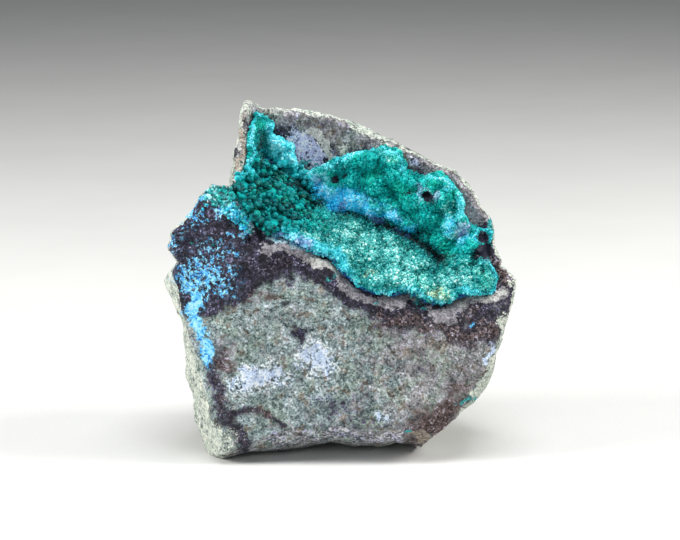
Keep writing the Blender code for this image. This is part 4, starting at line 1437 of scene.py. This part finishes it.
@dataclass
class DruseCrust:
    """The crust that lines the hollow: a skin with knobs and mounds, and crystals that cover it."""

    plane: FacePlane
    bare: BareRock
    edges: CrustEdges
    marks: CrustMarks = CrustMarks()
    skin_net: tuple[int, int] = (421, 211)
    under_cells: tuple[int, int] = (12, 10)
    thickness: float = 0.8
    thin_rim: float = -0.25
    lip_rim: float = 0.35
    gap: float = 0.4
    sunk: float = 0.8
    taper: float = 0.12
    slope_step: float = 0.3
    mounds: tuple[float, float, float] = (2.7, 1.5, 0.64)
    lumps: tuple[float, float, float] = (1.25, 0.50, 0.66)
    grains: tuple[float, float, float] = (0.46, 0.17, 0.70)
    knobs: tuple[tuple[float, float, float, float], ...] = (
        (-11, 35.9, 0.85, 1.7), (-8.4, 35.7, 0.95, 1.7), (-9.4, 38, 0.8, 1.5), (-8.6, 38.3, 0.7, 1.4),
        (-10, 39.5, 0.75, 1.4), (-11.8, 39.3, 0.75, 1.3), (-7.4, 39.5, 0.7, 1.2), (-6.2, 37.7, 0.75, 1.3),
        (-13.2, 38.7, 0.7, 1.1), (-12.8, 36.9, 0.75, 1.2), (-11.8, 34.3, 0.75, 1.2),
        (-9.2, 33.4, 0.85, 1.3), (-7.2, 33.1, 0.85, 1.3), (-7.8, 34.3, 0.7, 1.2), (-5.8, 35.5, 0.8, 1.2),
        (-9.8, 37, 0.7, 1.5), (-6.8, 36.3, 0.7, 1.2), (-13.4, 40.3, 0.6, 0.8), (-12.5, 41.1, 0.65, 0.9),
        (-10.5, 34.6, 0.7, 1.3), (-5.2, 33.4, 0.8, 1.2), (20.4, 29.5, 1.1, 1.5), (20, 31.2, 0.68, 1.1),
    )
    knob_flatness: float = 0.8
    knob_region: Blot = Blot(-9.6, 36.8, 5.8, 5.0)
    knob_edge: Place = (0.25, 0.6)
    knob_limit: float = 0.3
    dark_limit: float = 0.5
    small_knobs: tuple[float, float, float] = (1.25, 0.8, 0.6)
    cup: Blot = Blot(12.2, 37.2, 0.55, 0.55, 0.9)
    groove_depth: float = 0.55
    groove_fill: float = 0.8
    # Painted light and shade of the tone: in gaps and on mounds and lumps, on grains, in grooves, over
    # knobs.
    open_painted_light: tuple[float, float, float] = (0.15, 0.4, 0.45)
    grain_painted_light: float = 0.16
    groove_painted_shade: Place = (0.85, 0.6)
    knob_shade: float = 0.22
    skin_tone: Place = (0.72, 0.1)
    skin_cloud: tuple[float, float, int] = (0.1, 0.9, 51)
    ragged: tuple[tuple[float, float, int], ...] = ((1.5, 0.3, 71), (0.6, 0.16, 73))
    lip_share: float = 0.25
    full_share: float = 0.1
    seed: int = 7
    seed_step: float = 0.002
    tilt_step: float = 0.004
    seeds: tuple[int, int] = (300, 112)
    most_crystals: int = 8800
    closest: float = 0.24
    knob_spacing: float = 0.60
    floor_spacing: float = 0.25

    def _caps(self, across: Array, up: Array, field: tuple[float, float, float],
              seed: int, power: float = 1.0) -> tuple[Array, Array]:
        """Rounded or pointed caps strewn over the crust.

        A cap's height is one less the square of the share of its radius, to the power: 0.5 makes it
        half-round, and 1 a dome.

        Args:
            across, up: Places on the face.
            field: How far apart the caps are, how tall, and their radius as a share of the first.
            seed: Chooses their places.
            power: The power.

        Returns:
            tuple: Height, and the share of the cap's full height.
        """
        apart, tall, radius = field
        away = nearest_seed(across, up, apart, seed) / radius
        share = np.maximum(1.0 - away**2, 0.0) ** power
        return tall * share, share

    def _knobby(self, across: Array, up: Array) -> Array:
        """1 among the knobs, easing to 0 at the edge of their region."""
        return eased(*self.knob_edge, self.knob_region.on(across, up))

    def _knobs(self, across: Array, up: Array) -> tuple[Array, Array]:
        """Half-round knobs: the listed ones, and small ones strewn over their region."""
        height, share = self._caps(across, up, self.small_knobs, seed=41, power=0.5)
        here = self._knobby(across, up)
        height, share = height * here, share * here
        for place_across, place_up, radius, tall in self.knobs:
            away = np.hypot(across - place_across, (up - place_up) * self.knob_flatness) / radius
            cap = np.sqrt(np.maximum(1.0 - away**2, 0.0))
            share = np.where(tall * cap > height, cap, share)
            height = np.maximum(height, tall * cap)
        return height, share

    def _growth(self, across: Array, up: Array) -> tuple[Array, Array]:
        """Height of all that grows on the crust, and how near its top each place is, for painted light.

        The highest of mounds and knobs counts, with lumps on the mounds and fine grains on all. The
        grooves take away from it.

        Args:
            across, up: Places on the face.

        Returns:
            tuple: Height in millimetres, and painted light: a share from 0 in the gaps to 1 on the tops.
        """
        mounds, mound_share = self._caps(across, up, self.mounds, seed=11)
        lumps, lump_share = self._caps(across, up, self.lumps, seed=23)
        grains, grain_share = self._caps(across, up, self.grains, seed=29)
        knobs, knob_share = self._knobs(across, up)
        knobby = self._knobby(across, up)
        # Painted light: darker in the gaps, lighter on mounds and lumps.
        gap, on_mound, on_lump = self.open_painted_light
        open_share = gap + on_mound * mound_share + on_lump * lump_share
        height = np.maximum(mounds + lumps * (1.0 - knobby), knobs)
        share = knobby * knob_share + (1.0 - knobby) * open_share
        groove = marked(self.marks.grooves, across, up)
        height = height * (1.0 - self.groove_fill * groove) - self.groove_depth * groove
        height = height - self.cup.on(across, up)
        share = (1.0 - self.grain_painted_light) * share + self.grain_painted_light * grain_share
        # Painted shade in the grooves.
        groove_shade_scale, sunk = self.groove_painted_shade
        share = share * (1.0 - groove_shade_scale * groove) - sunk * groove
        # Painted shade over the knobs.
        share = share * (1.0 - self.knob_shade * knobby)
        return height + grains, share

    def _under(self, across: Array, up: Array) -> Array:
        """The rock's bare surface plus the gap, measured square to that surface."""
        step = self.slope_step
        relief = self.bare.relief
        rise_across = (relief(across + step, up) - relief(across - step, up)) / (2.0 * step)
        rise_up = (relief(across, up + step) - relief(across, up - step)) / (2.0 * step)
        return relief(across, up) + self.gap * np.sqrt(1.0 + rise_across**2 + rise_up**2)

    def _top(self, along: Array, over: Array) -> Array:
        """Places on the crust's top.

        Args:
            along, over: Shares of the way from its left end to its right, and from below to above.

        Returns:
            Array: Places across, up and out.
        """
        across, up = self.edges.patch(along, over)
        across = across + sum(
            far * face_noise(across, up, size, seed) for size, far, seed in self.ragged
        )
        up = up + sum(far * face_noise(across, up, size, seed + 1) for size, far, seed in self.ragged)
        off_edge = np.minimum(np.minimum(along, 1.0 - along), np.minimum(over, 1.0 - over)) * 2.0
        height = self._growth(across, up)[0] * eased(0.0, self.taper, off_edge)
        rim = self.thin_rim + (self.lip_rim - self.thin_rim) * eased(self.lip_share, 0.0, over)
        rise = rim + (self.thickness - rim) * eased(0.0, self.full_share, off_edge)
        out = self._under(across, up) + rise + height
        return np.stack([across, up, out], axis=-1)

    def build_skin(self, finish: DruseFinish) -> bpy.types.Object:
        """Build the skin: a net over its top, and a coarser one below that dips into the rock.

        Each face of the wall between them has one edge of the coarse net, and those of the fine one over
        it.

        Args:
            finish: The skin's finish.

        Returns:
            bpy.types.Object: The skin, in place of the crust's plain solid.
        """
        columns, rows = self.skin_net
        steps = np.meshgrid(np.linspace(0.0, 1.0, columns), np.linspace(0.0, 1.0, rows))
        along, over = (axis.ravel() for axis in steps)
        top = self._top(along, over)
        index = np.arange(rows * columns).reshape(rows, columns)
        wide, high = self.under_cells
        coarse = index[::high, ::wide]
        below = top[coarse.ravel()]
        below[:, 2] = self._under(below[:, 0], below[:, 1]) - self.sunk
        points = np.concatenate([top, below])
        deep = rows * columns + np.arange(coarse.size).reshape(coarse.shape)
        faces = grid_faces(rows, columns).tolist()
        faces += grid_faces(*coarse.shape, rows * columns, turned=True).tolist()
        for edge, foot, cells in (
            (index[0], deep[0], wide), (index[:, -1], deep[:, -1], high),
            (index[-1, ::-1], deep[-1, ::-1], wide), (index[::-1, 0], deep[::-1, 0], high),
        ):
            for k, (here, there) in enumerate(zip(foot, foot[1:])):
                stretch = edge[k * cells:(k + 1) * cells + 1]
                faces.append([int(here), int(there), *stretch[::-1].tolist()])
        piece = make_piece("crust_skin", self.plane.to_world(*points.T), faces)
        piece.data.shade_smooth()
        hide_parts("druse_crust")
        # Painted light and shade: lighter on the tops of the growth, darker in gaps and grooves, plus a
        # cloud of tone.
        spread, least = self.skin_tone
        swing, size, seed = self.skin_cloud
        tone = spread * self._growth(points[:, 0], points[:, 1])[1]
        tone = tone + least + swing * noise(points, size, seed)
        write_marks(piece, {"tone": tone, **self.marks.values(points[:, 0], points[:, 1])})
        piece.data.materials.append(finish.material())
        return piece

    def _sown(self, rng: np.random.Generator) -> tuple[Array, Array]:
        """Strew seeds over the patch, about equally close everywhere.

        Each seed is one place of an even net in the patch's shares, moved at random. It is kept with a
        chance equal to the area of its mesh over that of the spacing of its growth.

        Args:
            rng: Source of chance.

        Returns:
            tuple: The shares along and over of the seeds that are kept.
        """
        columns, rows = self.seeds
        grid = np.stack(np.meshgrid(np.arange(columns), np.arange(rows)), axis=-1).reshape(-1, 2)
        share = (grid + rng.uniform(0.0, 1.0, grid.shape)) / (columns, rows)
        along, over = share.T
        here, right, onward = steps_of(self._top, along, over, self.seed_step, 1.0)
        right, onward = right / self.seed_step / columns, onward / self.seed_step / rows
        area = np.linalg.norm(np.cross(right, onward), axis=-1)
        knobby = self.knob_region.on(here[:, 0], here[:, 1]) > self.knob_limit
        below = here[:, 1] < self.bare.hollow.valley_up(here[:, 0])
        apart = np.where(knobby, self.knob_spacing, np.where(below, self.floor_spacing, self.closest))
        kept = rng.uniform(0.0, 1.0, len(area)) < area / apart**2
        return along[kept], over[kept]

    def _growths(self, across: Array, up: Array) -> dict[Growth, Array]:
        """Sort places into the growths: knobs, then floor below the valley and wall above it."""
        knob = self.knob_region.on(across, up) > self.knob_limit
        dark = marked(self.marks.darks_and_pit_shade, across, up) > self.dark_limit
        below = up < self.bare.hollow.valley_up(across)
        return {
            Growth.FLOOR: below & ~knob & ~dark,
            Growth.KNOB: knob & ~dark,
            Growth.WALL: ~below & ~knob & ~dark,
        }

    def build_crystals(self, finishes: dict[Growth, DruseFinish]) -> list[bpy.types.Object]:
        """Cover the crust with crystals, one piece for each growth.

        Args:
            finishes: The finish of each growth.

        Returns:
            list: The pieces.
        """
        rng = np.random.default_rng(self.seed)
        along, over = self._sown(rng)
        foot, right, onward = steps_of(self._top, along, over, self.tilt_step, 1.0)
        normal = unit(np.cross(right, onward))
        made = []
        for growth, member in self._growths(foot[:, 0], foot[:, 1]).items():
            chosen = np.flatnonzero(member)
            if len(chosen) > self.most_crystals:
                chosen = rng.choice(chosen, self.most_crystals, replace=False)
            # Painted light for each crystal: the share of the crust's height under it.
            painted_light = self._growth(foot[chosen, 0], foot[chosen, 1])[1]
            cluster = CrystalCluster(HABITS[growth], foot[chosen], normal[chosen], painted_light)
            dressed = finishes[growth].material()
            made.append(cluster.build(f"crystals_{growth.value}", self.plane, self.marks, dressed, rng))
        return made


@dataclass
class CrystalCluster:
    """Many six-sided crystals in one mesh: each a short prism with a pyramid on it."""

    habit: CrystalHabit
    feet: Array
    normals: Array
    painted_light: Array
    sides: int = 6
    flatness: Place = (0.6, 1.0)
    darker: float = 0.7

    def _template(self) -> tuple[Array, Array]:
        """One crystal of width and length one, standing on the origin, and its triangles.

        Its rings are regular polygons, from below the foot to the shoulder, and its tip is last.

        Returns:
            tuple: The points, and three point numbers for each triangle.
        """
        turn = 2.0 * math.pi * np.arange(self.sides) / self.sides
        ring = np.stack([np.cos(turn) / 2.0, np.sin(turn) / 2.0], axis=-1)
        rings = [
            np.column_stack([ring * wide, np.full(self.sides, high)])
            for wide, high in self.habit.shoulders
        ]
        points = np.vstack([*rings, [[0.0, 0.0, 1.0]]])
        here = np.arange(self.sides)
        there = (here + 1) % self.sides
        faces = [np.stack([np.zeros(self.sides - 2, int), here[2:], here[1:-1]], axis=-1)]
        for low in range(0, self.sides * (len(rings) - 1), self.sides):
            high = low + self.sides
            faces.append(np.stack([here + low, there + low, there + high], axis=-1))
            faces.append(np.stack([here + low, there + high, here + high], axis=-1))
        last = self.sides * (len(rings) - 1)
        tip = np.full(self.sides, len(points) - 1)
        faces.append(np.stack([here + last, there + last, tip], axis=-1))
        return points, np.vstack(faces)

    def build(self, name: str, plane: FacePlane, marks: CrustMarks,
              material: bpy.types.Material, rng: np.random.Generator) -> bpy.types.Object:
        """Stand a crystal on each foot, tilted and turned at random, and join them.

        Args:
            name: Name of the piece.
            plane: The plane of the face.
            marks: Where each colour lies.
            material: The crystals' material.
            rng: Source of chance.

        Returns:
            bpy.types.Object: The cluster.
        """
        count = len(self.feet)
        shape, triangles = self._template()
        axis = unit(self.normals + self.habit.tilt * rng.normal(0.0, 1.0, (count, 3)))
        side = unit(np.cross(axis, rng.normal(0.0, 1.0, (count, 3))))
        other = np.cross(axis, side)
        width = rng.uniform(*self.habit.width, count)[:, None, None]
        length = rng.uniform(*self.habit.length, count)[:, None, None]
        flat = rng.uniform(*self.flatness, count)[:, None, None]
        points = (
            self.feet[:, None]
            + side[:, None] * shape[None, :, :1] * width
            + other[:, None] * shape[None, :, 1:2] * width * flat
            + axis[:, None] * shape[None, :, 2:] * length
        )
        start = len(shape) * np.arange(count)[:, None, None]
        faces = (triangles[None] + start).reshape(-1, 3)
        flat_points = points.reshape(-1, 3)
        piece = make_piece(name, plane.to_world(*flat_points.T), faces.tolist())
        tip = np.clip(shape[:, 2], 0.0, 1.0)
        # Painted light: darker in gaps, lighter on tops, a painted highlight towards each tip; plus tone
        # by chance.
        gap, top, point, chance = self.habit.tone
        tone = gap + top * self.painted_light + rng.uniform(-self.darker * chance, chance, count)
        tone = (tone[:, None] + point * tip).ravel()
        foot = np.repeat(self.feet, len(shape), axis=0)
        write_marks(piece, {"tone": tone, **marks.values(foot[:, 0], foot[:, 1])})
        piece.data.materials.append(material)
        return piece


@dataclass(frozen=True)
class LedgeDruse:
    """The rough crust of pale blue and green crystals along the ledge left of the hollow."""

    patches: Marks = (
        Streak(((-18.8, 38.4), (-17.2, 36.7), (-15.2, 35.4), (-13.6, 33.6)), 1.15, 0.95),
        Streak(((-18.2, 38.2), (-15.6, 38), (-14.2, 36.6), (-12.8, 34.2)), 0.7, 0.95),
        Blot(-14.4, 33.6, 1.6, 1.2, 0.6), Blot(-13.4, 32, 0.8, 1.2, 0.5),
    )
    left: float = -21.5
    right: float = -11.4
    low: float = 30.0
    high: float = 39.6
    trials: int = 2600
    seed: int = 19
    torn: tuple[float, float, int] = (0.9, 0.55, 91)
    chance: Place = (0.42, 0.8)
    margin: float = 0.35
    step: float = 0.15

    def build(self, rock: HostRock, plane: FacePlane, marks: CrustMarks,
              finish: DruseFinish) -> bpy.types.Object:
        """Strew crystals over the patches, fewer towards their torn edges.

        Args:
            rock: The rock that they stand on.
            plane: The plane of the face.
            marks: Where each colour lies.
            finish: Their finish.

        Returns:
            bpy.types.Object: The crystals.
        """
        rng = np.random.default_rng(self.seed)
        across = rng.uniform(self.left, self.right, self.trials)
        up = rng.uniform(self.low, self.high, self.trials)
        size, far, seed = self.torn
        here = marked(self.patches, across, up) + far * face_noise(across, up, size, seed)
        standing = FRONT_OUTLINE.inside(across, up) > self.margin
        kept = (here > rng.uniform(*self.chance, self.trials)) & standing
        across, up = across[kept], up[kept]
        foot, right, onward = steps_of(rock.surface, across, up, self.step)
        normal = unit(np.cross(right, onward))
        cluster = CrystalCluster(HABITS[Growth.LEDGE], foot, normal, np.zeros(len(foot)))
        return cluster.build("crystals_ledge", plane, marks, finish.material(), rng)


@dataclass(frozen=True)
class Lamp:
    """A square soft light: where it hangs, in metres, its side, its power and its colour."""

    name: str
    place: tuple[float, float, float]
    side: float
    power: float
    colour: Colour = (1.0, 1.0, 1.0)


@dataclass(frozen=True)
class Studio:
    """The pale floor, the soft lights and the camera, which stands square to the face."""

    plane: FacePlane
    image_width: int = 680
    millimetres_per_pixel: float = 0.14085
    lens: float = 135.0
    sensor: float = 36.0
    floor_radius: float = 3.0
    floor_sides: int = 96
    floor_rings: int = 12
    floor_drop: float = 0.00002
    floor_colour: Colour = (0.62, 0.62, 0.61)
    sky: Colour = (0.90, 0.95, 1.00)
    sky_strength: float = 0.13
    lamps: tuple[Lamp, ...] = (
        Lamp("left", (-0.34, -0.06, 0.2), 0.16, 1.7, (1, 0.98, 0.95)),
        Lamp("right", (0.34, 0.02, 0.24), 0.16, 1.7, (1, 0.97, 0.93)),
        Lamp("top", (0.04, -0.02, 0.42), 0.24, 1.5, (0.97, 0.99, 1)),
        Lamp("front", (-0.1, -0.5, 0.25), 0.3, 0.9, (0.96, 0.98, 1)),
    )

    def _middle(self) -> Vector:
        """The place on the face at the middle of the view."""
        none = np.zeros(1)
        return Vector(self.plane.to_world(none, none + self.plane.view_centre, none)[0])

    def _camera(self) -> None:
        """Stand the camera where the face's width fills the photograph's share of the frame."""
        data = bpy.data.cameras.new("camera")
        data.lens = self.lens
        data.sensor_width = self.sensor
        data.clip_start = 0.01
        camera = placed("camera", data)
        seen = self.image_width * self.millimetres_per_pixel * MM
        camera.location = self._middle() + self.plane.out_of_face() * seen * self.lens / self.sensor
        camera.rotation_euler = (math.radians(90.0 - self.plane.lean), 0.0, 0.0)
        bpy.context.scene.camera = camera

    def _floor(self) -> None:
        """Lay a round floor at the foot, as rings of a fan from its middle."""
        turn = np.linspace(0.0, 2.0 * math.pi, self.floor_sides + 1)
        radius = np.linspace(0.0, self.floor_radius, self.floor_rings + 1)[1:]
        ring = np.stack([np.outer(radius, np.cos(turn)), np.outer(radius, np.sin(turn))], axis=-1)
        points = np.concatenate([ring.reshape(-1, 2), np.zeros((1, 2))])
        points = np.column_stack([points, np.full(len(points), -self.floor_drop)])
        inner = np.arange(self.floor_sides)
        fan = np.stack([inner, inner + 1, np.full_like(inner, len(points) - 1)], axis=-1)
        rings = grid_faces(self.floor_rings, self.floor_sides + 1, turned=True)
        faces = rings.tolist() + fan.tolist()
        mesh = bpy.data.meshes.new("floor")
        mesh.from_pydata(points, [], faces)
        floor = placed("floor", mesh)
        mix = Recipe("pale floor")
        grey = mix.scaled(mix.noise(30.0), 0.97, 1.0)
        pale = mix.ramp(grey, ((0.0, self.floor_colour), (1.0, self.floor_colour)))
        colour = mix.blend(1.0, pale, grey, "MULTIPLY")
        height = mix.noise(0.6)
        mesh.materials.append(mix.done(colour, 0.6, mix.rough_skin(height, 0.01)))
        floor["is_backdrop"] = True

    def _light(self) -> None:
        """Hang the lamps, aimed at the middle of the view, under an even sky."""
        for lamp in self.lamps:
            data = bpy.data.lights.new(lamp.name, "AREA")
            data.size = lamp.side
            data.energy = lamp.power
            data.color = lamp.colour
            hung = placed(lamp.name, data)
            hung.location = lamp.place
            aim = self._middle() - Vector(lamp.place)
            hung.rotation_euler = aim.to_track_quat("-Z", "Y").to_euler()
        world = bpy.data.worlds.new("sky")
        world.use_nodes = True
        sky = world.node_tree.nodes["Background"]
        sky.inputs["Color"].default_value = (*self.sky, 1.0)
        sky.inputs["Strength"].default_value = self.sky_strength
        bpy.context.scene.world = world

    def build(self) -> None:
        """Set up the camera, the floor and the light."""
        self._camera()
        self._floor()
        self._light()
        bpy.context.scene.view_settings.view_transform = "Standard"


def report(piece: bpy.types.Object) -> None:
    """Log a piece's name and its number of triangles."""
    sides = np.empty(len(piece.data.polygons), np.int32)
    piece.data.polygons.foreach_get("loop_total", sides)
    LOG.info("%s: %d triangles", piece.name, int((sides - 2).sum()))


def write_sizes() -> None:
    """Work out the box of the plain solids and that of the dressed specimen."""
    boxes = {"cad": CAD_BOX, "visual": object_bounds()}
    plain = {name: [list(corner) for corner in box] for name, box in boxes.items()}


def main() -> None:
    """Build the specimen, then the studio round it."""
    logging.basicConfig(level=logging.INFO, format="%(message)s")
    plane, bare, edges = FacePlane(), BareRock(), CrustEdges()
    rock = HostRock(plane, bare, edges)
    report(rock.build(RockFinish()))
    crust = DruseCrust(plane, bare, edges)
    report(crust.build_skin(DruseFinish("crust skin", roughness=0.35, gloss=0.08, relief=0.10)))
    finishes = {
        Growth.FLOOR: DruseFinish("sparkling druse", roughness=0.14, gloss=0.28),
        Growth.KNOB: DruseFinish("green knobs", roughness=0.14, gloss=0.12, relief=0.04),
        Growth.WALL: DruseFinish("velvety druse", roughness=0.16, gloss=0.14),
    }
    for piece in crust.build_crystals(finishes):
        report(piece)
    pale = DruseFinish("ledge druse", roughness=0.35, gloss=0.25)
    report(LedgeDruse().build(rock, plane, crust.marks, pale))
    Studio(plane).build()
    write_sizes()


if __name__ == "__main__":
    main()
